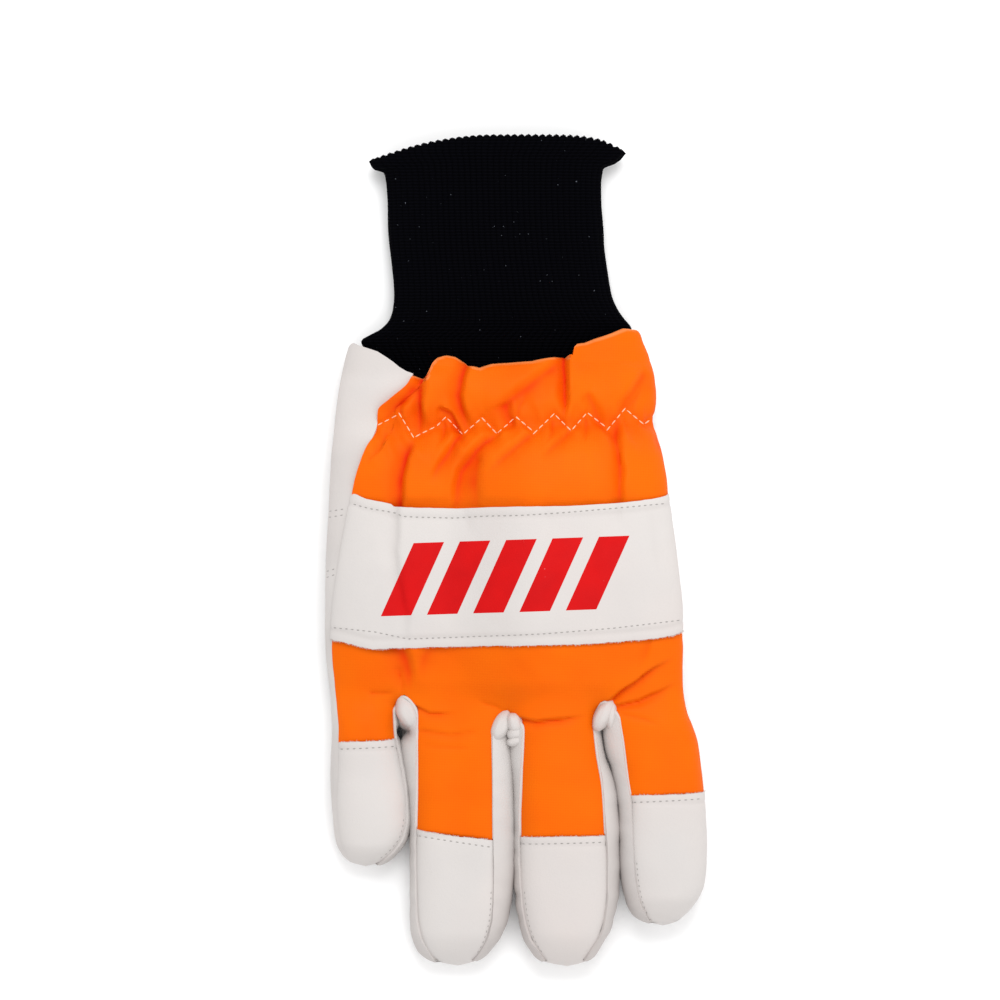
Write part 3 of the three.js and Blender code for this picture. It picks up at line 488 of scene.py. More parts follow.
class Surface:
    """Points and quads, kept as arrays, in millimetres."""

    def __init__(self, points, quads):
        self.points, self.quads = np.array(points, float), np.array(quads, int)

    def normals(self):
        p = self.points
        a, b, c, d = (p[self.quads[:, k]] for k in range(4))
        face = np.cross(c - a, d - b)
        total = np.zeros_like(p)
        for k in range(4):
            np.add.at(total, self.quads[:, k], face)
        return total / np.maximum(np.linalg.norm(total, axis=1, keepdims=True), 1e-9)

    def plan(self):
        """The points' x and y, as views that follow the points when they move."""
        return self.points[:, 0], self.points[:, 1]

    def sides(self):
        """The two ends of every side of every quad."""
        return np.concatenate([self.quads[:, [k, (k + 1) % 4]] for k in range(4)])

    def smoothed(self, weight, times):
        """Each point moves towards its neighbours' mean by its weight."""
        edges = np.unique(np.sort(self.sides(), axis=1), axis=0)
        count = np.bincount(edges.ravel(), minlength=len(self.points))[:, None]
        for _ in range(times):
            total = np.zeros_like(self.points)
            np.add.at(total, edges[:, 0], self.points[edges[:, 1]])
            np.add.at(total, edges[:, 1], self.points[edges[:, 0]])
            mean = total / np.maximum(count, 1)
            self.points += weight[:, None] * (mean - self.points)
        return self

    def moved(self, amount):
        """Each point moves outwards by its amount."""
        self.points += self.normals() * np.asarray(amount)[:, None]
        return self


def grid_quads(ids, flip=False):
    quads = np.stack([ids[:-1, :-1], ids[1:, :-1], ids[1:, 1:], ids[:-1, 1:]], -1).reshape(-1, 4)
    return quads[:, ::-1] if flip else quads


def grid_surface(points, flip=False, closed=False):
    rows, columns = points.shape[:2]
    ids = np.arange(rows * columns).reshape(rows, columns)
    if closed:
        ids = np.concatenate([ids, ids[:, :1]], 1)
    return Surface(points.reshape(-1, 3), grid_quads(ids, flip))


def thickened(surface, thickness, base=None):
    """The surface with an inner copy and a rim, as one closed body.

    The inner copy lies under base where that is given, and under the surface itself otherwise.
    """
    p, q = surface.points, surface.quads
    count = len(p)
    under = base or surface
    depth = np.broadcast_to(np.asarray(thickness, float), (count,))
    inner = under.points - under.normals() * depth[:, None]
    inner[:, 2] = np.maximum(inner[:, 2], np.minimum(p[:, 2], 0.4))
    sides = surface.sides()
    key = np.sort(sides, axis=1)
    _, first, times = np.unique(key, axis=0, return_index=True, return_counts=True)
    rim = sides[first[times == 1]]
    rims = np.stack([rim[:, 1], rim[:, 0], rim[:, 0] + count, rim[:, 1] + count], 1)
    return Surface(np.concatenate([p, inner]), np.concatenate([q, q[:, ::-1] + count, rims]))


def joined(*surfaces):
    """Several surfaces as one."""
    points, quads, start = [], [], 0
    for surface in surfaces:
        points.append(surface.points)
        quads.append(surface.quads + start)
        start += len(surface.points)
    return Surface(np.concatenate(points), np.concatenate(quads))


def make_object(name, surface, material, attributes=None):
    mesh = bpy.data.meshes.new(name)
    points = surface.points * MM
    quads = surface.quads
    mesh.vertices.add(len(points))
    mesh.vertices.foreach_set("co", points.ravel())
    mesh.loops.add(quads.size)
    mesh.loops.foreach_set("vertex_index", quads.ravel())
    mesh.polygons.add(len(quads))
    mesh.polygons.foreach_set("loop_start", np.arange(0, quads.size, 4))
    mesh.polygons.foreach_set("loop_total", np.full(len(quads), 4))
    mesh.update(calc_edges=True)
    mesh.validate()
    mesh.polygons.foreach_set("use_smooth", np.ones(len(mesh.polygons), bool))
    mesh.set_sharp_from_angle(angle=math.radians(55))
    for key, values in (attributes or {}).items():
        mesh.attributes.new(key, "FLOAT", "POINT").data.foreach_set("value", np.asarray(values, np.float32))
    mesh.materials.append(material)
    made = bpy.data.objects.new(name, mesh)
    bpy.context.scene.collection.objects.link(made)
    return made


# Folds of the cloth.


def hem_line(x):
    return np.interp(x, HEM["x"], HEM["y"])


def distance_to(points, x, y):
    """How far each place is from a line of points, how far along the line, from 0 to 1, and on which side."""
    best, place, side = np.full(np.shape(x), 1e9), np.zeros(np.shape(x)), np.zeros(np.shape(x))
    lengths = [math.dist(a, b) for a, b in zip(points, points[1:])]
    whole, done = sum(lengths), 0.0
    for (ax, ay), (bx, by), length in zip(points, points[1:], lengths):
        dx, dy = bx - ax, by - ay
        t = np.clip(((x - ax) * dx + (y - ay) * dy) / length**2, 0, 1)
        d = np.hypot(x - ax - t * dx, y - ay - t * dy)
        place = np.where(d < best, (done + t * length) / whole, place)
        side = np.where(d < best, np.sign(dx * (y - ay) - dy * (x - ax)), side)
        best = np.minimum(best, d)
        done += length
    return best, place, side


def fold_shape(fold, x, y):
    """Each place's distance from a fold's line in half widths, the fold's strength and its raised side.

    A fold that starts inside the gathered cloth fades in, and one that starts at an edge begins at once.
    """
    half, _, lip, points = fold
    first_x, first_y = points[0]
    starts = (0.0, 0.16) if GATHERED_Y < first_y < hem_line(first_x) - 1 else (-0.3, 0.08)
    d, place, side = distance_to(points, x + 0.45 * noise(x, y, 4.0, 15), y)
    d = np.hypot(d, 0.12)
    raised = smooth(-0.35, 0.35, d * side * np.sign(lip)) if lip else 0.5 + 0 * d
    return d / half, smooth(*starts, place) * smooth(1.0, 0.5, place), raised


def valleys(folds, x, y):
    """How deep the folds are: a steep step up on the raised side of each line, a soft slope on the other."""
    depth = np.zeros(np.shape(x))
    for fold in folds:
        _, deep, lip, _ = fold
        d, strength, raised = fold_shape(fold, x, y)
        slope = (1 - raised) * bell(d, 1.5) + raised * bell(d, 0.6)
        standing = abs(lip) * raised * smooth(0, 1.0, d) * bell(d, 3.6)
        depth += strength * (deep * slope - standing)
    return np.where(depth > 0, DEEPEST * np.tanh(depth / DEEPEST), depth)


def shade(folds, x, y):
    """How much painted shade lies beside each fold: a sharp edge on the raised side, soft on the other."""
    amount = np.zeros(np.shape(x))
    for fold in folds:
        _, deep, _, _ = fold
        d, strength, raised = fold_shape(fold, x, y)
        soft = 0.55 * np.exp(-d / 1.6) + 0.45 * bell(d, 0.5)
        amount += np.minimum(deep / 2.6, 1.0) * strength * ((1 - raised) * soft + raised * bell(d, 0.3))
    return amount


def elastic_y(x):
    """The line of the elastic that gathers the back."""
    return 38.2 + 0.03 * x


def cloth_relief(x, y):
    """How far the gathered cloth stands out of the glove's plain section."""
    off = y - elastic_y(x)
    above = np.clip(off / 18.0, 0, 1)
    below = np.clip(-off / 24.0, 0, 1)
    puff = 1.9 * np.sin(np.pi * above) ** 0.8 * (off > 0)
    puff += 1.1 * np.sin(np.pi * below) ** 0.8 * (off <= 0)
    gathers = 0.45 * np.sin(x * 0.9 + 0.35 * off + 1.2 * noise(x, y, 9, 3)) * bell(off, 7)
    thread, _, _ = distance_to(ZIGZAG, x, y)
    seam = 0.7 * bell(thread, 0.8) + 0.9 * bell(off, 4.5)
    free = smooth(-60, -30, y)
    wrinkles = 0.32 * noise(x + 0.4 * y, y, 11, 1) + 0.13 * noise(x, y, 4.3, 2)
    fine = 0.35 * noise(x * 1.6 + 0.8 * y, y * 0.6, 3.4, 4) + 0.2 * noise(x * 2, y, 2.6, 6)
    wrinkles += bell(off, 9) * fine
    fingers = 0.22 * noise(x, y * 1.4, 9, 5) * smooth(-38, -52, y)
    under_patch = smooth(17, 13, y) * smooth(-29, -25, y)
    relief = puff + gathers - seam - valleys(FOLDS, x, y) + wrinkles * (0.35 + 0.65 * free) + fingers
    return relief - under_patch * (np.maximum(relief, 0) + 0.4)


def patch_relief(x, y):
    """How far the slack leather of the knuckle patch stands out."""
    return 0.12 * noise(x, y, 12, 7) + 0.05 * noise(x, y, 4, 8) - valleys(PATCH_FOLDS, x, y)


# The four strips of the hand and its fingers. Between them are three crotches, counted from the left.
CROTCH_DROPS = (-0.04, 0.005, -0.03)  # how far the top of each lies below crotch_y, over the hand's length
SEAM_STARTS = (0.0, 0.06, 0.03)  # where the seams beside each begin, over the finger's length
JOINT_Y = crotch_y + 7.6  # above this line the strips' rows follow the hem, below it they are level
LEVEL_END = crotch_y - 2.6  # and below this line they turn towards the ends of the fingers
LEVEL_PITCH = 0.55
UNDER_CLOTH = 0.4  # the palm's right edge lies this far below the cloth's


def crotch_point(k):
    """The top of a crotch in the plan."""
    x = (FINGERS[k].x("seam_right", crotch_y) + FINGERS[k + 1].x("seam_left", crotch_y)) / 2
    return float(x), crotch_y - CROTCH_DROPS[k] * HAND_LENGTH


def cloth_left(y):
    return hand_x(curve(CLOTH_LEFT, "across", along_hand(y)))


def dividing_x(k, y):
    """The line on which two strips meet, from a crotch up to the hem."""
    x, _ = crotch_point(k)
    _, right = hand.edges(JOINT_Y)
    share = (x - cloth_left(JOINT_Y)) / (right - cloth_left(JOINT_Y))
    _, right_here = hand.edges(y)
    return cloth_left(y) + share * (right_here - cloth_left(y))


def strip_x(i, on_left, y):
    """The plan line of a strip's left or right edge on the back."""
    on_finger = FINGERS[i].x("seam_left" if on_left else "seam_right", y)
    k = i - 1 if on_left else i
    if k < 0:
        t = smooth(crotch_y + 6, crotch_y - 3, y)
        return (1 - t) * cloth_left(y) + t * on_finger
    if k > 2:
        return on_finger
    x, top = crotch_point(k)
    t = np.clip((top - y) / (top - FINGERS[i].y(SEAM_STARTS[k])), 0, 1) ** 0.8
    return np.where(y > top, dividing_x(k, y), (1 - t) * x + t * on_finger)


def blended(finger, y, u, starts, ends):
    """A point between two places, each given by its angles in the hand's section and in the finger's."""
    on_hand, on_finger = (
        skin(tube, y, start + u * (end - start)) for tube, start, end in zip((hand, finger), starts, ends)
    )
    w = smooth(crotch_y - 5, crotch_y + 9, y)[..., None]
    return w * on_hand + (1 - w) * on_finger


def right_wall(tube, y, rise=0.0):
    """The angle of the seam of cloth and leather on the right side."""
    seam = SIDE_SEAM + (FINGER_SEAM - SIDE_SEAM) * smooth(0.6, 1.0, along_hand(y))
    return angle_at_height(tube, y, seam + rise, False)


def edge_angles(i, on_left, y):
    """The angles of a strip's edge on the back, in the hand's section and in the finger's."""
    x = strip_x(i, on_left, y)
    return angle_at_x(hand, y, x), angle_at_x(FINGERS[i], y, x)


def back_strip(i, y, u):
    """The cloth of the back: from the left edge of a strip over the top to its right edge."""
    finger = FINGERS[i]
    ends = (right_wall(hand, y), right_wall(finger, y)) if i == 3 else edge_angles(i, False, y)
    return blended(finger, y, u, edge_angles(i, True, y), ends)


def palm_strip(i, y, u):
    """The palm leather: from the cloth's left edge over the side, underneath, and up the right side."""
    finger = FINGERS[i]
    starts = edge_angles(0, True, y) if i == 0 else side_angles(i, i - 1, True, y)
    if i == 3:
        rise = -UNDER_CLOTH + 0.9 * smooth(0.5, 0.7, (crotch_y - y) / finger.length)
        ends = (2 * np.pi + right_wall(hand, y, -UNDER_CLOTH), 2 * np.pi + right_wall(finger, y, rise))
    else:
        ends = side_angles(i, i, False, y)
    return blended(finger, y, u, starts, ends)


def side_angles(i, k, on_left, y):
    """Where a strip of the palm ends beside a crotch: on the hand its dividing line, on a finger its wall."""
    _, top = crotch_point(k)
    finger = FINGERS[i]
    under = dividing_x(k, np.maximum(y, top))
    hand_angle = angle_at_x(hand, y, under, below=True)
    wall = angle_at_height(finger, y, FINGER_SEAM, on_left)
    wall = wall if on_left else 2 * np.pi + wall
    t = smooth(top, top - 5, y)
    finger_angle = (1 - t) * angle_at_x(finger, y, under, below=True) + t * wall
    return hand_angle, finger_angle


def level_rows():
    """The level rows of the strips, one of them at the top of each crotch."""
    rows = np.arange(JOINT_Y, LEVEL_END, -LEVEL_PITCH)
    for k in range(3):
        _, top = crotch_point(k)
        rows[np.argmin(np.abs(rows - top))] = top
    return rows


def strips(make_strip, start_y, end_y, columns, hand_rows, finger_rows, crowding=1.0):
    """Four strips side by side, joined down to the crotches and free below them."""
    levels = level_rows()
    grids, crotch_rows = [], []
    for i in range(4):
        u = np.linspace(0, 1, columns[i] + 1)
        first = start_y(i, u)
        upper = first + (JOINT_Y - first) * np.linspace(0, 1, hand_rows + 1)[:-1, None]
        level = np.repeat(levels[:, None], len(u), 1)
        last = end_y(i, u)
        crowded = 1 - (1 - np.linspace(0, 1, finger_rows[i] + 1)[1:, None]) ** crowding
        lower = levels[-1] + (last - levels[-1]) * crowded
        y = np.concatenate([upper, level, lower])
        grids.append(make_strip(i, y, np.broadcast_to(u, y.shape)))
    for k in range(3):
        _, top = crotch_point(k)
        crotch_rows.append(hand_rows + int(np.argmin(np.abs(levels - top))))
    points, ids, start = [], [], 0
    for i, grid in enumerate(grids):
        rows, wide = grid.shape[:2]
        own = np.arange(start, start + rows * wide).reshape(rows, wide)
        if i > 0:
            meet = crotch_rows[i - 1] + 1
            shared = (grids[i - 1][:meet, -1] + grid[:meet, 0]) / 2
            points[i - 1].reshape(*grids[i - 1].shape)[:meet, -1] = shared
            own = own.copy()
            own[:meet, 0] = ids[i - 1][:meet, -1]
        points.append(grid.reshape(-1, 3).copy())
        ids.append(own)
        start += rows * wide
    quads = np.concatenate([grid_quads(own) for own in ids])
    everything = np.concatenate(points)
    used, packed = np.unique(quads, return_inverse=True)
    surface = Surface(everything[used], packed.reshape(-1, 4))
    x, y = surface.plan()
    near = np.zeros(len(x))
    for k in range(3):
        crotch_x, top = crotch_point(k)
        near += np.exp(-(((x - crotch_x) / 7) ** 2 + ((y - top - 2) / 7) ** 2))
    edges, times = np.unique(np.sort(surface.sides(), axis=1), axis=0, return_counts=True)
    on_edge = np.zeros(len(x), bool)
    on_edge[edges[times == 1].ravel()] = True
    return surface.smoothed(np.where(on_edge, 0, 0.5 * np.clip(near * 1.4, 0, 1)), 24)


# Materials.


class Nodes:
    """A material's nodes, added and linked by short calls."""

    def __init__(self, name):
        self.material = bpy.data.materials.new(name)
        self.material.use_nodes = True
        self.tree = self.material.node_tree
        self.shader = self.tree.nodes["Principled BSDF"]
        self.place = self.add("ShaderNodeTexCoord").outputs["Object"]

    def add(self, kind, **values):
        node = self.tree.nodes.new(kind)
        for key, value in values.items():
            if key in node.bl_rna.properties:
                setattr(node, key, value)
            else:
                self.put(node.inputs[key], value)
        return node

    def put(self, socket, value):
        if isinstance(value, bpy.types.NodeSocket):
            self.tree.links.new(value, socket)
        else:
            socket.default_value = value

    def math(self, operation, a, b=0.0):
        node = self.add("ShaderNodeMath", operation=operation)
        self.put(node.inputs[0], a)
        self.put(node.inputs[1], b)
        return node.outputs[0]

    def times(self, a, b):
        return self.math("MULTIPLY", a, b)

    def plus(self, a, b):
        return self.math("ADD", a, b)

    def ramp(self, value, low, high):
        node = self.add("ShaderNodeMapRange", clamp=True)
        self.put(node.inputs["Value"], value)
        self.put(node.inputs["From Min"], low)
        self.put(node.inputs["From Max"], high)
        return node.outputs["Result"]

    def mix(self, factor, a, b):
        node = self.add("ShaderNodeMix", data_type="RGBA")
        self.put(node.inputs["Factor"], factor)
        self.put(node.inputs["A"], a)
        self.put(node.inputs["B"], b)
        return node.outputs["Result"]

    def noise(self, scale, detail=3.0, stretch=(1, 1, 1)):
        mapped = self.add("ShaderNodeMapping", Vector=self.place, Scale=stretch).outputs[0]
        node = self.add("ShaderNodeTexNoise", Scale=scale, Detail=detail)
        self.put(node.inputs["Vector"], mapped)
        return node.outputs["Fac"]

    def wave(self, scale, turn=0.0, direction="X", distortion=0.0):
        mapped = self.add("ShaderNodeMapping", Vector=self.place, Rotation=(0, 0, turn)).outputs[0]
        node = self.add("ShaderNodeTexWave", Scale=scale, Distortion=distortion, bands_direction=direction)
        self.put(node.inputs["Vector"], mapped)
        return node.outputs["Fac"]

    def attribute(self, name):
        return self.add("ShaderNodeAttribute", attribute_name=name).outputs["Fac"]

    def finish(self, color, roughness, height=None, distance=0.0002, strength=1.0, **constants):
        self.put(self.shader.inputs["Base Color"], color)
        self.put(self.shader.inputs["Roughness"], roughness)
        for key, value in constants.items():
            self.shader.inputs[key.replace("_", " ")].default_value = value
        if height is not None:
            bump = self.add("ShaderNodeBump", Strength=strength, Distance=distance, Height=height)
            self.put(self.shader.inputs["Normal"], bump.outputs[0])
        return self.material


def linear(red, green, blue):
    """A colour given as 0 to 255, as the shader takes it."""
    values = (red, green, blue)
    return tuple(((v / 255 + 0.055) / 1.055) ** 2.4 if v > 10 else v / 255 / 12.92 for v in values) + (1.0,)


def cloth_material():
    """Fine woven cloth: painted shade turns it deeper orange in the valleys of its folds; pale at the raw
    rim.
    """
    m = Nodes("orange_cloth")
    weave = m.plus(m.times(m.wave(420, 0.03), 0.5), m.times(m.wave(400, 0.03, "Y"), 0.5))
    cloud = m.ramp(m.noise(60, 4), 0.35, 0.7)
    color = m.mix(m.times(cloud, 0.6), linear(228, 100, 0), linear(225, 91, 0))
    # Painted shade: the valleys of the folds turn a deeper red-orange.
    color = m.mix(m.attribute("shade_and_tone"), color, linear(213, 40, 0))
    color = m.mix(m.times(m.ramp(weave, 0.55, 0.1), 0.12), color, linear(212, 62, 0))
    color = m.mix(m.times(m.attribute("rim"), 0.75), color, linear(238, 140, 78))
    height = m.plus(m.times(weave, 0.6), m.noise(900, 2))
    return m.finish(color, 0.6, height, 0.00008, 0.5, Specular_IOR_Level=0.07)


def leather_color(m):
    """Off-white leather, a little uneven, greyed by a mark that carries random tone and painted shade in
    recesses and crevices.
    """
    cloud = m.ramp(m.noise(28, 5), 0.35, 0.68)
    other = m.ramp(m.noise(17, 3), 0.42, 0.7)
    color = m.mix(m.times(cloud, 0.7), linear(203, 198, 195), linear(195, 191, 189))
    color = m.mix(m.times(other, 0.6), color, linear(206, 196, 192))
    # Painted shade and random tone: the leather turns grey where a piece marks it.
    return m.mix(m.attribute("shade_and_tone"), color, linear(160, 152, 149))


def finish_leather(m, color, specular):
    """The pores, creases and uneven gloss of leather."""
    grain = m.add("ShaderNodeTexVoronoi", Scale=1100.0, feature="DISTANCE_TO_EDGE", Vector=m.place)
    pores = m.ramp(grain.outputs["Distance"], 0.0, 0.25)
    creases = m.ramp(m.noise(160, 6, (1, 0.45, 1)), 0.3, 0.7)
    height = m.plus(m.times(pores, 0.35), m.times(creases, 0.9))
    roughness = m.plus(0.55, m.times(m.noise(220, 3), 0.2))
    return m.finish(color, roughness, height, 0.00012, 0.45, Specular_IOR_Level=specular)


def leather_material():
    m = Nodes("white_leather")
    return finish_leather(m, leather_color(m), 0.2)


# The print on the knuckle patch: five slanted bars, in millimetres, with a bar's share of the pitch.
PRINT_LEFT, PRINT_PITCH, PRINT_BARS, PRINT_SHARE = -32.5, 13.6, 5, 0.66
PRINT_MIDDLE, PRINT_HALF, PRINT_SLANT, PRINT_TILT = -7.0, 10.8, 0.45, 0.035


def patch_material():
    """Leather with a row of slanted red bars printed on it."""
    m = Nodes("printed_leather")
    split = m.add("ShaderNodeSeparateXYZ", Vector=m.place)
    x, y = split.outputs["X"], split.outputs["Y"]
    across = m.math("SUBTRACT", m.plus(x, m.times(y, -PRINT_SLANT)), PRINT_LEFT * MM)
    place = m.math("DIVIDE", across, PRINT_PITCH * MM)
    bar = m.math("LESS_THAN", m.math("FRACT", place), PRINT_SHARE)
    after, before = m.math("GREATER_THAN", place, 0.0), m.math("LESS_THAN", place, PRINT_BARS - 0.01)
    middle = m.plus(PRINT_MIDDLE * MM, m.times(x, PRINT_TILT))
    tall = m.math("LESS_THAN", m.math("ABSOLUTE", m.math("SUBTRACT", y, middle)), PRINT_HALF * MM)
    ink = m.times(m.times(bar, m.times(after, before)), tall)
    wear = m.ramp(m.noise(900, 4), 0.17, 0.25)
    red = m.mix(m.ramp(m.noise(90, 3), 0.3, 0.7), linear(202, 9, 11), linear(188, 7, 11))
    return finish_leather(m, m.mix(m.times(ink, wear), leather_color(m), red), 0.12)


def knit_material():
    """Black loops with a few specks of pale lint."""
    m = Nodes("black_knit")
    loops = m.wave(330, 0, "Y", 1.2)
    color = m.mix(m.ramp(loops, 0.2, 0.9), linear(1, 1, 3), linear(4, 4, 8))
    lint = m.ramp(m.noise(1100, 1), 0.79, 0.812)
    color = m.mix(m.times(lint, 0.7), color, linear(120, 125, 135))
    height = m.plus(loops, m.times(m.noise(2400, 3), 0.8))
    return m.finish(color, 0.9, height, 0.0003, 0.8, Specular_IOR_Level=0.03)


def thread_material(name, pale, dark):
    """Twisted thread of two shades."""
    m = Nodes(name)
    twist = m.wave(1400, 0.8, "X", 1.0)
    color = m.mix(twist, linear(*pale), linear(*dark))
    return m.finish(color, 0.6, twist, 0.00005, 0.5, Specular_IOR_Level=0.3)


def plain_floor_material():
    m = Nodes("pale_floor")
    color = m.mix(m.times(m.noise(6, 2), 0.3), linear(252, 252, 252), linear(249, 249, 250))
    return m.finish(color, 0.9, Specular_IOR_Level=0.0)


cloth_look = cloth_material()
leather_look = leather_material()
patch_look = patch_material()
knit_look = knit_material()
pale_thread = thread_material("pale_thread", (252, 216, 186), (243, 172, 126))
# Row thread: the real thread is white, and its grey is painted shade of the stitch holes round it.
thread_with_painted_shade = thread_material("thread_with_painted_shade", (176, 172, 168), (120, 116, 114))
PIECES = []


def add_piece(name, surface, material, node, attributes=None):
    piece = make_object(name, surface, material, attributes)
    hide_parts(node)
    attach(piece, "root")
    PIECES.append(piece)
    return piece


def both_sides(values):
    """Values of the outer points of a thickened surface, given to its inner points too."""
    return np.concatenate([values, values])


# The pieces.
SETTLING = 30  # rounds in which a strip's first row settles on its edge
CAP_LAP = 3.5  # how far the cloth reaches under a cap


def back_start(i, u):
    """The y of a strip's first row, on the hem."""
    y = np.full(u.shape, 57.0)
    for _ in range(SETTLING):
        left = cloth_left(y) if i == 0 else dividing_x(i - 1, y)
        right = hand.edges(y)[1] + 6 if i == 3 else dividing_x(i, y)
        y = 0.5 * y + 0.5 * hem_line(left + u * (right - left))
    return y


def cap_line(finger, u, lap=0.0):
    """The y of a fingertip cap's edge across its finger, or of a line that lies a lap below it."""
    left, right = finger.y(finger.cap_left), finger.y(finger.cap_right)
    return left + (right - left) * u - lap


def of_finger(value, x):
    """What a function of a finger gives for the finger under each place."""
    i = np.searchsorted([finger.line for finger in FINGERS[1:]], x)
    return np.array([value(finger) for finger in FINGERS])[i]


def under_cap(x, y):
    """One where the cloth lies under a fingertip cap."""
    left = of_finger(lambda finger: finger.y(finger.cap_left), x)
    right = of_finger(lambda finger: finger.y(finger.cap_right), x)
    share = (x - of_finger(lambda finger: finger.line, x)) / of_finger(lambda finger: finger.width, x)
    edge = left + (right - left) * np.clip(share, 0, 1)
    return smooth(edge - 0.2, edge - 1.0, y)


def make_back():
    columns, hand_rows, finger_rows = (38, 48, 50, 62), 168, (20, 56, 58, 46)
    surface = strips(
        back_strip, back_start, lambda i, u: cap_line(FINGERS[i], u, CAP_LAP), columns, hand_rows, finger_rows
    )
    x, y = surface.plan()
    facing = surface.normals()[:, 2]
    relief = cloth_relief(x, y) * (0.45 + 0.55 * np.clip(facing, 0, 1))
    relief -= 0.8 * under_cap(x, y)
    # Painted shade beside each fold and along the elastic's crease, made a little uneven.
    shade_and_tone = shade(FOLDS, x, y) + 0.16 * bell(y - elastic_y(x), 3.2)
    shade_and_tone = np.clip(shade_and_tone * (1 + 0.25 * noise(x, y, 3.5, 16)) + 0.07 * noise(x, y, 9, 17), 0, 1)
    edge = np.clip((hem_line(x) - y) / 2.2, 0, 1)
    curl = 2.4 * (1 - np.sqrt(1 - (1 - edge) ** 2)) * (y > GATHERED_Y)
    base = Surface(surface.points.copy(), surface.quads)
    surface.moved(relief - curl)
    deep_fold = bell(x + 29, 3.5) * smooth(GATHERED_Y, GATHERED_Y + 6, y) * smooth(0.8, 2.5, hem_line(x) - y)
    surface.smoothed(0.5 * deep_fold, 3)
    closed = thickened(surface, PADDED_BACK + np.maximum(0, curl - relief - 1.8), base)
    rim = smooth(1.25, 0.85, hem_line(x) - y) * (y > GATHERED_Y)
    paint = {"shade_and_tone": both_sides(shade_and_tone), "rim": both_sides(rim)}
    piece = add_piece("back_cloth_look", closed, cloth_look, "back_cloth", paint)
    return piece


def wrist_y(angle, x):
    """The palm's edge at the wrist: the flap's edge on top, and a nearly level one underneath."""
    on_top = hand_y(np.interp((x - palm_middle) / palm_width, FLAP["across"], FLAP["along"]))
    low = hand_y(0.011) - 3.0 * smooth(np.pi - 0.3, np.pi + 0.25, angle)
    under = low + (hand_y(-0.012) - low) * smooth(-46, -34, x) * (angle > np.pi)
    return np.where(angle < np.pi - 0.3, on_top, under)


def palm_start(i, u):
    """The y of a strip's first row, on the palm's edge at the wrist."""
    y = np.full(u.shape, 60.0)
    for _ in range(SETTLING):
        if i == 0:
            start = angle_at_x(hand, y, cloth_left(y))
        else:
            start = angle_at_x(hand, y, dividing_x(i - 1, y), below=True)
        if i == 3:
            end = 2 * np.pi + right_wall(hand, y, -UNDER_CLOTH)
        else:
            end = angle_at_x(hand, y, dividing_x(i, y), below=True)
        angle = start + u * (end - start)
        x = skin(hand, y, angle)[..., 0]
        y = 0.5 * y + 0.5 * wrist_y(angle, x)
    return y


# The last part of a finger that is drawn out, how much longer it gets, and over what length it closes.
TIP_DRAWN, TIP_LONGER, TIP_CLOSED = 6.0, 1.3, 1.1


def tip_fade(x, y):
    """One over the glove, and nothing at the ends of the fingers."""
    return smooth(0, 5, y - of_finger(lambda finger: finger.y(1.0), x))


def rounded_tips(surface):
    """The last millimetres of each finger drawn out to a round, closed end."""
    x, y = surface.points[:, 0].copy(), surface.points[:, 1].copy()
    for finger in FINGERS:
        end = finger.y(1.0)
        above = np.clip(y - end, 0, TIP_DRAWN)
        left, right = finger.edges(end + above)
        mine = smooth(left - 1.5, left - 0.8, x) * smooth(right + 1.5, right + 0.8, x) * (y > end - 1)
        closing = np.maximum(np.sqrt(1 - (1 - np.clip(above / TIP_CLOSED, 0, 1)) ** 2), 0.03)
        left, right = finger.edges(np.array(end))
        bottom, top = finger.heights((left + right) / 2, np.array(end))
        for axis, middle in ((0, (left + right) / 2), (2, (bottom + top) / 2)):
            surface.points[:, axis] += mine * (closing - 1) * (surface.points[:, axis] - middle)
        surface.points[:, 1] -= mine * TIP_LONGER * (1 - above / TIP_DRAWN) ** 2
    return surface


def make_palm():
    columns, hand_rows, finger_rows = (44, 30, 30, 40), 120, (56, 90, 90, 76)
    surface = strips(
        palm_strip, palm_start, lambda i, u: FINGERS[i].y(1.0) + 0 * u, columns, hand_rows, finger_rows, 1.6
    )
    surface.quads = surface.quads[:, ::-1]
    x, y = surface.plan()
    relief = 0.15 * noise(x, y, 10, 11) + 0.06 * noise(x, y, 3.7, 12) - 0.15
    relief -= bell(y - elastic_y(x), 4.5) * smooth(33, 37, x)
    surface.moved(relief * tip_fade(x, y))
    surface.points[:, 2] = np.maximum(surface.points[:, 2], 0)
    rounded_tips(surface)
    shade_and_tone = 0.25 * np.clip(-noise(x, y, 14, 13), 0, 1) + 0.14 * smooth(50, 56, y)
    closed, paint = thickened(surface, LEATHER), {"shade_and_tone": both_sides(shade_and_tone)}
    return add_piece("palm_leather_look", closed, leather_look, "palm_leather", paint)


PATCH_STITCHES = (0.068, 0.93)  # where the patch's two rows of stitches lie, from its top edge down


def patch_y(x, share):
    """The y of a line across the knuckle patch: share 0 is its top edge, and 1 its bottom edge."""
    top = np.interp(x, PATCH_TOP["x"], PATCH_TOP["y"])
    return top + (np.interp(x, PATCH_BOTTOM["x"], PATCH_BOTTOM["y"]) - top) * share


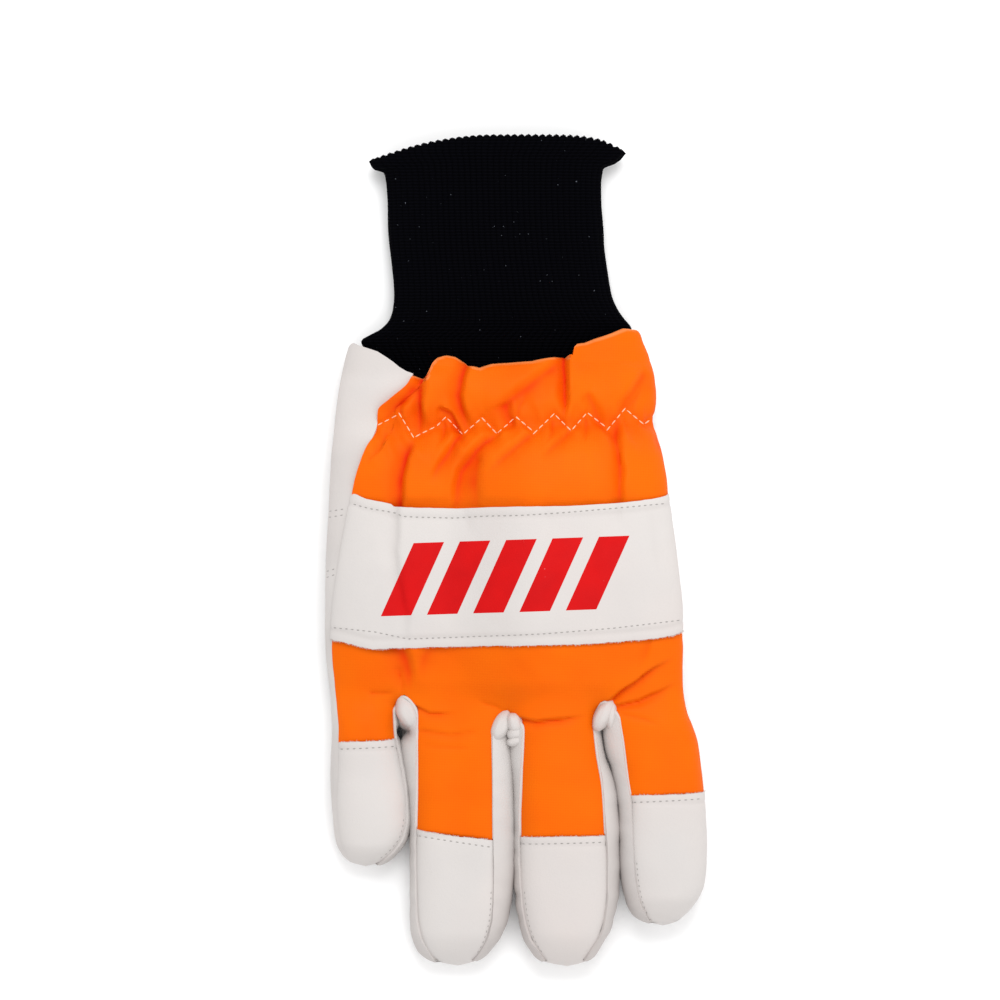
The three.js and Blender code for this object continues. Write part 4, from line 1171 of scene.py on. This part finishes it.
def make_patch():
    rows, columns = 84, 200
    u = np.linspace(0, 1, columns + 1)[None, :]
    v = np.linspace(0, 1, rows + 1)[:, None]
    guess = -52 + 100 * u
    y = patch_y(guess, v)
    frayed = 0.14 * noise(guess, y * 0 + 3, 0.9, 21) * (v == 1)
    y = y + frayed + 0.07 * noise(guess, y * 0 + 5, 1.1, 22) * (v == 0)
    start = angle_at_x(hand, y, cloth_left(y) - 0.2)
    end = right_wall(hand, y, 0.6) + 0.07 * v**12
    surface = grid_surface(skin(hand, y, start + u * (end - start), 0.3))
    u, v = (np.broadcast_to(shares, y.shape).ravel() for shares in (u, v))
    x, y = surface.plan()
    stitch = sum(bell(v - share, 0.02) for share in PATCH_STITCHES)
    edge = bell(v, 0.012) + bell(v - 1, 0.012)
    lift = 0.9 * (1 - u**14) * (1 - (1 - u) ** 60)
    surface.moved(lift + patch_relief(x, y) - 0.22 * stitch - 0.12 * edge)
    # Painted shade in the patch's folds and along its sunk rows of stitches.
    shade_and_tone = np.clip(shade(PATCH_FOLDS, x, y) * 0.45 + 0.12 * stitch, 0, 1)
    closed, paint = thickened(surface, PATCH_WALL), {"shade_and_tone": both_sides(shade_and_tone)}
    piece = add_piece("knuckle_patch_look", closed, patch_look, "knuckle_patch", paint)
    return piece, surface.points[-columns - 1 :]


CAP_STITCHES = 2.0  # how far a cap's row of stitches lies from its edge


def make_cap(i):
    finger = FINGERS[i]
    rows, columns = 90, 60
    u = np.linspace(0, 1, columns + 1)[None, :]
    v = 1 - (1 - np.linspace(0, 1, rows + 1)[:, None]) ** 1.6
    top = cap_line(finger, u)
    y = top + (finger.y(1.0) - top) * v
    y = y + 0.1 * noise(40 * u + 17 * i, y * 0, 1.3, 31) * (v == 0)
    start = angle_at_x(finger, y, finger.x("seam_left", y))
    end = right_wall(finger, y) if i == 3 else angle_at_x(finger, y, finger.x("seam_right", y))
    tuck = 1 - np.abs(2 * u - 1) ** 10
    lap = smooth(0.35, 0.0, v)
    grow = (0.2 + 0.9 * tuck * (0.35 + 0.65 * lap)) * (1 - v**8)
    surface = grid_surface(skin(finger, y, start + u * (end - start), 0.0))
    facing = np.clip(surface.normals()[:, 2], 0, 1)
    x, y = surface.plan()
    stitch = bell(top.ravel()[0] - y - CAP_STITCHES, 0.6)
    relief = 0.1 * noise(x, y, 8, 32 + i) - 0.22 * stitch
    relief *= smooth(1.0, 0.93, (crotch_y - y) / finger.length)
    surface.moved(grow.ravel() * (0.3 + 0.7 * facing) + relief)
    rounded_tips(surface)
    closed = thickened(surface, THIN_LEATHER - 0.6 * np.repeat(v, columns + 1) ** 6)
    # Painted shade along the cap's sunk row of stitches.
    node, paint = f"fingertip_cap_{finger.name}", {"shade_and_tone": both_sides(0.1 * stitch)}
    piece = add_piece(f"cap_{finger.name}_look", closed, leather_look, node, paint)
    return piece, surface.points[: columns + 1]


def lobe(x, y, z, across, down, tall, turn, seed):
    """A soft wrinkled bump of leather at a crotch."""
    turns, rises = 72, 36
    angle = np.linspace(0, 2 * np.pi, turns, endpoint=False)[None, :]
    up = np.linspace(-0.45, np.pi / 2 - 0.0002, rises)[:, None]
    dx, dy, dz = np.cos(up) * np.cos(angle), np.cos(up) * np.sin(angle), np.sin(up) + 0 * angle
    coarse = 0.06 * noise(2 * dx + 3 * seed, 4 * dy, 2.6, seed)
    wrinkle = 1 + coarse + 0.03 * noise(7 * dx, 4 * dy + 3 * dz, 2.4, seed + 1)
    round_off = np.cos(up) ** 0.8 / np.cos(up)
    dx, dy, dz = dx * round_off, dy * round_off, np.sign(dz) * np.abs(dz) ** 0.85
    px, py = across * dx * wrinkle, down * dy * wrinkle
    c, s = math.cos(turn), math.sin(turn)
    points = np.stack([x + c * px - s * py, y + s * px + c * py, z + tall * dz * wrinkle], -1)
    return grid_surface(points, closed=True)


POCKET_X, POCKET_Y, POCKET_DEPTH = -34.4, -54.2, 2.6
UNDER_CAP, SUNK = 0.09, 0.12  # the angle the strips reach under the caps by, and how deep they lie there


def in_pocket(x, y):
    """One in the shaded pocket under the gathered leather of the first crotch, and nothing away from it."""
    return np.exp(-(((x - POCKET_X) / 2.3) ** 2) - ((y - POCKET_Y) / 1.8) ** 2)


def make_fourchette(k):
    """The strip of leather down one finger's wall and up the next one's, round a crotch."""
    _, top = crotch_point(k)
    across = np.linspace(0, 1, 12)[None, :]
    down = 1 - (1 - np.linspace(0, 1, 90)[:, None]) ** 1.5

    def wall(i, on_left):
        finger = FINGERS[i]
        y = top + (finger.y(1.0) - top) * down
        under = UNDER_CAP * smooth(0.9, 0.96, (crotch_y - y) / finger.length)
        start = angle_at_x(finger, y, strip_x(i, on_left, y)) + (-under if on_left else under)
        end = angle_at_height(finger, y, FINGER_SEAM, on_left)
        return skin(finger, y, start + across * (end - start), -SUNK * under / UNDER_CAP * (1 - across) ** 3)

    surface = grid_surface(np.concatenate([wall(k, False)[::-1], wall(k + 1, True)]))
    x, y = surface.plan()
    surface.smoothed(0.5 * bell(y - top, 3), 10)
    surface.moved((0.2 * noise(x, y * 1.5, 5, 41 + k) + 0.1 * noise(x, y, 2.2, 44 + k)) * tip_fade(x, y))
    if k == 0:
        surface.moved(POCKET_DEPTH * in_pocket(x, y))  # this surface faces into the fingers
    surface.points[:, 2] = np.maximum(surface.points[:, 2], 0.2)
    return rounded_tips(surface)


def tube_along(path, radius, sides=8):
    """A closed tube of one radius along points in space."""
    path = np.array(path, float)
    ahead = np.gradient(path, axis=0)
    ahead /= np.linalg.norm(ahead, axis=1, keepdims=True)
    side = np.cross(ahead, (0, 0, 1.0))
    side /= np.maximum(np.linalg.norm(side, axis=1, keepdims=True), 1e-6)
    up = np.cross(side, ahead)
    angle = np.linspace(0, 2 * np.pi, sides, endpoint=False)
    size = np.full(len(path), radius)
    size[[0, -1]] *= 0.1
    ring = side[:, None] * np.cos(angle)[None, :, None] + up[:, None] * np.sin(angle)[None, :, None]
    return grid_surface(path[:, None] + ring * size[:, None, None], closed=True)


def seam_roll(k):
    """The turned edge of the leather that follows the cloth's edge round a crotch."""
    path = []
    for i, on_left in ((k, False), (k + 1, True)):
        finger = FINGERS[i]
        cap = finger.cap_left if on_left else finger.cap_right
        y = np.linspace(crotch_point(k)[1] - 0.3, finger.y(cap), 70)
        here = edge_angles(i, on_left, y)
        points = blended(finger, y, 0.0, here, here)
        points[:, 0] += -0.25 if on_left else 0.25
        path += list(points if on_left else points[::-1])
    path = np.array(path)
    path[:, 2] -= 0.15
    for _ in range(6):
        path[1:-1] = (path[:-2] + 2 * path[1:-1] + path[2:]) / 4
    return tube_along(path, 0.55)


# The gathered leather at each crotch: place, half widths across and along, height below the top, turn.
LOBES = [
    [(-33.2, -48.0, 3.5, 5.6, 0.3, 0.36)],
    [
        (-5.0, -51.9, 2.9, 5.2, 0.7, -0.45),
        (-1.0, -51.2, 2.6, 3.3, 0.3, 0.2),
        (-0.3, -54.1, 3.3, 2.3, 1.0, 0.3),
        (-0.3, -56.3, 3.2, 2.0, 1.5, 0.3),
    ],
    [(25.8, -48.6, 2.6, 5.7, 0.6, -0.5), (27.9, -48.8, 1.8, 4.9, 0.9, -0.1)],
]
LOBE_HEIGHT = 4.4


def make_fourchettes():
    for k, lobes in enumerate(LOBES):
        closed = thickened(make_fourchette(k), THIN_LEATHER)
        for n, (x, y, across, down, under, turn) in enumerate(lobes):
            top = float(FINGERS[k].heights(np.array(x), np.array(y))[1])
            z = top - LOBE_HEIGHT - under
            closed = joined(closed, lobe(x, y, z, across, down, LOBE_HEIGHT, turn, 71 + 3 * k + n))
        closed = joined(closed, seam_roll(k))
        x, y = closed.plan()
        # Painted shade, deeper down between the fingers, over a slight grey tone.
        shade_and_tone = 0.1 + 0.3 * np.clip((top - 3.5 - closed.points[:, 2]) / 8, 0, 1)
        # At the first crotch, a painted shadow in the pocket under the gathered leather.
        if k == 0:
            shade_and_tone = np.clip(shade_and_tone + in_pocket(x, y), 0, 1)
        node = f"fourchette_{FINGERS[k].name}_{FINGERS[k + 1].name}"
        add_piece(f"{node}_look", closed, leather_look, node, {"shade_and_tone": shade_and_tone})


def make_thumb():
    rows, columns = 90, 64
    y = np.linspace(thumb_root_y, thumb_root_y - THUMB_LENGTH, rows + 1)[:, None]
    angle = np.linspace(0, 2 * np.pi, columns, endpoint=False)[None, :]
    surface = grid_surface(skin(Thumb(), y, angle + 0 * y, 0.0), closed=True, flip=True)
    surface.moved(0.12 * noise(*surface.plan(), 9, 51))
    surface.points[:, 2] = np.maximum(surface.points[:, 2], 0)
    closed = thickened(surface, LEATHER)
    paint = {"shade_and_tone": np.full(len(closed.points), 0.1)}
    return add_piece("thumb_leather_look", closed, leather_look, "thumb_leather", paint)


CUFF_RIBS, RIB_POINTS, CUFF_ROUND = 78, 6, 2.6


def cuff_points(along, angle, grow):
    """Points of the cuff's tube, whose ends are bowed in the plan."""

    def at(column):
        return curve(CUFF, column, along)

    left, right = cuff_middle + CUFF_WIDTH * at("left"), cuff_middle + CUFF_WIDTH * at("right")
    low, high = CUFF_THICKNESS * at("low"), CUFF_THICKNESS * at("high")
    c, s = np.cos(angle), np.sin(angle)
    across, up = (np.sign(part) * np.abs(part) ** (2 / CUFF_ROUND) for part in (c, s))
    bow = np.where(across < 0, at("left_bow") * across**2, at("right_bow") * across**6)
    x = (left + right) / 2 + ((right - left) / 2 + grow) * across
    z = (low + high) / 2 + ((high - low) / 2 + grow) * up
    y = hem_y + CUFF_LENGTH * (along - bow) + 0 * x
    return np.stack([x, y, np.maximum(z, 0)], -1)


def even_angles(count, along):
    """Angles that lie evenly spaced round the cuff's outline."""
    fine = np.linspace(0, 2 * np.pi, 2000)
    ring = cuff_points(np.full(fine.shape, along), fine, 0)
    steps = np.concatenate([[0], np.cumsum(np.linalg.norm(np.diff(ring, axis=0), axis=1))])
    return np.interp(np.linspace(0, steps[-1], count, endpoint=False), steps, fine)


def make_cuff():
    count = CUFF_RIBS * RIB_POINTS
    angle = even_angles(count, 0.6)[None, :]
    tube, lip_rows = np.linspace(-CUFF_TUCK / CUFF_LENGTH, 0.9, 84), np.linspace(0.91, 1.0, 16)
    along = np.concatenate([tube, lip_rows])[:, None]
    phase = 2 * np.pi * np.arange(count)[None, :] / RIB_POINTS
    rib = -0.45 + 0.42 * np.abs(np.cos(phase / 2)) ** 0.6
    lip = smooth(0.965, 1.0, along)
    scallop = 0.0095 * np.abs(np.cos(phase / 2)) ** 0.5 * lip
    soft = 0.25 * noise(angle * 12, along * 8, 1.5, 61)
    points = cuff_points(along + 0 * angle, angle + 0 * along, rib * (1 + 0.3 * lip) + soft)
    points[..., 1] += CUFF_LENGTH * scallop
    surface = grid_surface(points, closed=True)
    return add_piece("knit_cuff_look", thickened(surface, KNIT_WALL), knit_look, "knit_cuff")


def fix_winding(piece):
    """Turns a mesh's faces outwards."""
    work = bmesh.new()
    work.from_mesh(piece.data)
    bmesh.ops.recalc_face_normals(work, faces=work.faces)
    work.to_mesh(piece.data)
    work.free()


back = make_back()
palm = make_palm()
patch, patch_edge = make_patch()
caps, cap_edges = zip(*(make_cap(i) for i in range(4)))
make_fourchettes()
make_thumb()
make_cuff()
for piece in PIECES:
    fix_winding(piece)


# Stitches: the pitch of a row, and the length, half thickness and sunk ends of one stitch, in millimetres.
ZIGZAG_THREAD = (2.35, 1.85, 0.2, 0.12)
PATCH_THREAD = (1.75, 1.0, 0.16, 0.1)
CAP_THREAD = (1.9, 1.0, 0.16, 0.1)
SEAM_THREAD = (1.7, 0.8, 0.13, 0.08)
TACK_THREAD = (1.8, 0.9, 0.15, 0.1)


def tree_of(piece):
    """A piece's triangles, for rays to hit."""
    mesh = piece.data
    return BVHTree.FromPolygons([v.co for v in mesh.vertices], [p.vertices for p in mesh.polygons])


def drop(tree, x, y):
    """The top of a piece over a place in the plan, in millimetres, or None."""
    hit = tree.ray_cast(Vector((x * MM, y * MM, 0.1)), Vector((0, 0, -1)))
    return None if hit[0] is None else hit[0].z / MM


def walk(points, pitch):
    """Places a pitch apart along a line of points, with the direction of each."""
    out, carry = [], 0.0
    for (ax, ay), (bx, by) in zip(points, points[1:]):
        length = math.dist((ax, ay), (bx, by))
        if length == 0:
            continue
        dx, dy = (bx - ax) / length, (by - ay) / length
        at = carry
        while at < length:
            out.append((ax + dx * at, ay + dy * at, dx, dy))
            at += pitch
        carry = at - length
    return out


def dash(tree, x, y, dx, dy, length, radius, sink):
    """One visible stitch, bowed up between its two ends."""
    stations, sides = 7, 6
    rings = []
    for s in range(stations):
        t = s / (stations - 1)
        px, py = x + dx * (t - 0.5) * length, y + dy * (t - 0.5) * length
        z = drop(tree, px, py)
        if z is None:
            return None
        swell = math.sin(math.pi * t) ** 0.5 if 0 < t < 1 else 0.15
        z = z - sink * (1 - swell)
        r = radius * max(swell, 0.3)
        ring = []
        for k in range(sides):
            a = 2 * math.pi * k / sides
            ring.append((px - dy * r * math.cos(a), py + dx * r * math.cos(a), z + r * math.sin(a)))
        rings.append(ring)
    return grid_surface(np.array(rings), closed=True)


def stitch_row(tree, points, pitch, length, radius, sink):
    """The stitches along a line, as far as the piece is under it."""
    dashes = [dash(tree, x, y, dx, dy, length, radius, sink) for x, y, dx, dy in walk(points, pitch)]
    return [d for d in dashes if d is not None]


def row_on_patch(share, tree):
    """A row of stitches from one side of the knuckle patch to the other."""
    points = []
    for x in np.arange(-60, 60, 1.0):
        y = float(patch_y(x, share))
        left, right = float(cloth_left(np.array(y))) + 0.6, float(hand.edges(np.array(y))[1]) - 0.6
        if left < x < right:
            points.append((x, y))
    return stitch_row(tree, points, *PATCH_THREAD)


def fibres(edge, count, ahead, seed):
    """Short loose fibres at the raw edge of a piece of leather, which point ahead along y."""
    out = []
    for n in range(count):
        at, lean, long = (float(lattice(seed, n, k)) for k in range(3))
        k = int(at * (len(edge) - 1))
        x, y, z = edge[k] + (at * (len(edge) - 1) - k) * (edge[k + 1] - edge[k])
        turn, length = 2.2 * (lean - 0.5), 0.2 + 0.45 * long**2
        dx, dy = math.sin(turn) * length, ahead * math.cos(turn) * length
        path = [(x + dx * t, y + dy * t, z - 0.25 - 0.1 * t) for t in (-0.6, 0.0, 0.5, 1.0)]
        out.append(tube_along(path, 0.055, 4))
    return out


def add_stitches():
    back_tree, patch_tree = tree_of(back), tree_of(patch)
    zigzag = stitch_row(back_tree, ZIGZAG, *ZIGZAG_THREAD)
    pale = make_object("zigzag_thread", joined(*zigzag), pale_thread)
    rows = [stitch for share in PATCH_STITCHES for stitch in row_on_patch(share, patch_tree)]
    for finger, cap in zip(FINGERS, caps):
        tree = tree_of(cap)
        left_y, right_y = finger.y(finger.cap_left) - CAP_STITCHES, finger.y(finger.cap_right) - CAP_STITCHES
        left_x = float(finger.x("seam_left", left_y)) + 0.8
        right_x = float(min(finger.x("seam_right", right_y), finger.x("right", right_y))) - 0.6
        rows += stitch_row(tree, [(left_x, left_y), (right_x, right_y)], *CAP_THREAD)
        for column, side in (("seam_left", 1), ("seam_right", -1)):
            if (finger.name, side) in (("ring", -1), ("middle", 1), ("index", 1), ("little", -1)):
                along = np.linspace(0.72, 0.97, 14)
                ys = [float(finger.y(share)) for share in along]
                seam = [(float(finger.x(column, y)) + 0.55 * side, y) for y in ys]
                rows += stitch_row(tree, seam, *SEAM_THREAD)
    palm_tree = tree_of(palm)
    for y in (10.4, 12.2, -7.6, -5.8):
        left, right = float(hand.edges(np.array(y))[0]) + 0.9, float(cloth_left(np.array(y))) - 0.8
        rows += stitch_row(palm_tree, [(left, y), (right, y + 0.8)], *TACK_THREAD)
    fuzz = fibres(patch_edge, 620, -1, 81)
    for n, edge in enumerate(cap_edges):
        fuzz += fibres(edge[3:-3], 130, 1, 82 + n)
    loose = make_object("raw_edge_fibres", joined(*fuzz), leather_look)
    grey = make_object("row_thread", joined(*rows), thread_with_painted_shade)
    for piece, slot in ((pale, "cloth"), (grey, "leather"), (loose, "leather")):
        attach(piece, "root")
        fix_winding(piece)


add_stitches()


# Camera, floor and light.
FLOOR = 6000.0
CAMERA_PLACE = (-5.47 * MM, 15.58 * MM, 2.0833 + 0.018)  # straight over the middle of the photograph


def add_stage():
    corners = [[(-FLOOR, FLOOR, 0), (FLOOR, FLOOR, 0)], [(-FLOOR, -FLOOR, 0), (FLOOR, -FLOOR, 0)]]
    floor = make_object("floor", grid_surface(np.array(corners, float)), plain_floor_material())
    fix_winding(floor)


def add_camera():
    data = bpy.data.cameras.new("camera")
    data.lens, data.sensor_width = 250.0, 36.0
    data.clip_start, data.clip_end = 0.01, 10.0
    camera = bpy.data.objects.new("camera", data)
    camera.location = CAMERA_PLACE
    bpy.context.scene.collection.objects.link(camera)
    bpy.context.scene.camera = camera


def add_light(name, location, energy, size, color=(1, 1, 1)):
    data = bpy.data.lights.new(name, "AREA")
    data.energy, data.size, data.color = energy, size, color
    light = bpy.data.objects.new(name, data)
    light.location = location
    light.rotation_euler = (Vector((0, 0, 0)) - Vector(location)).to_track_quat("-Z", "Y").to_euler()
    bpy.context.scene.collection.objects.link(light)


add_stage()
add_camera()
add_light("key", (0.05, 0.62, 0.95), 6.4, 0.6)
add_light("fill", (0.5, -0.5, 0.9), 2.8, 0.9)
world = bpy.data.worlds.new("studio")
world.use_nodes = True
background = world.node_tree.nodes["Background"]
background.inputs["Color"].default_value = (1, 1, 1, 1)
background.inputs["Strength"].default_value = 0.87
bpy.context.scene.world = world
bpy.context.scene.view_settings.view_transform = "Standard"
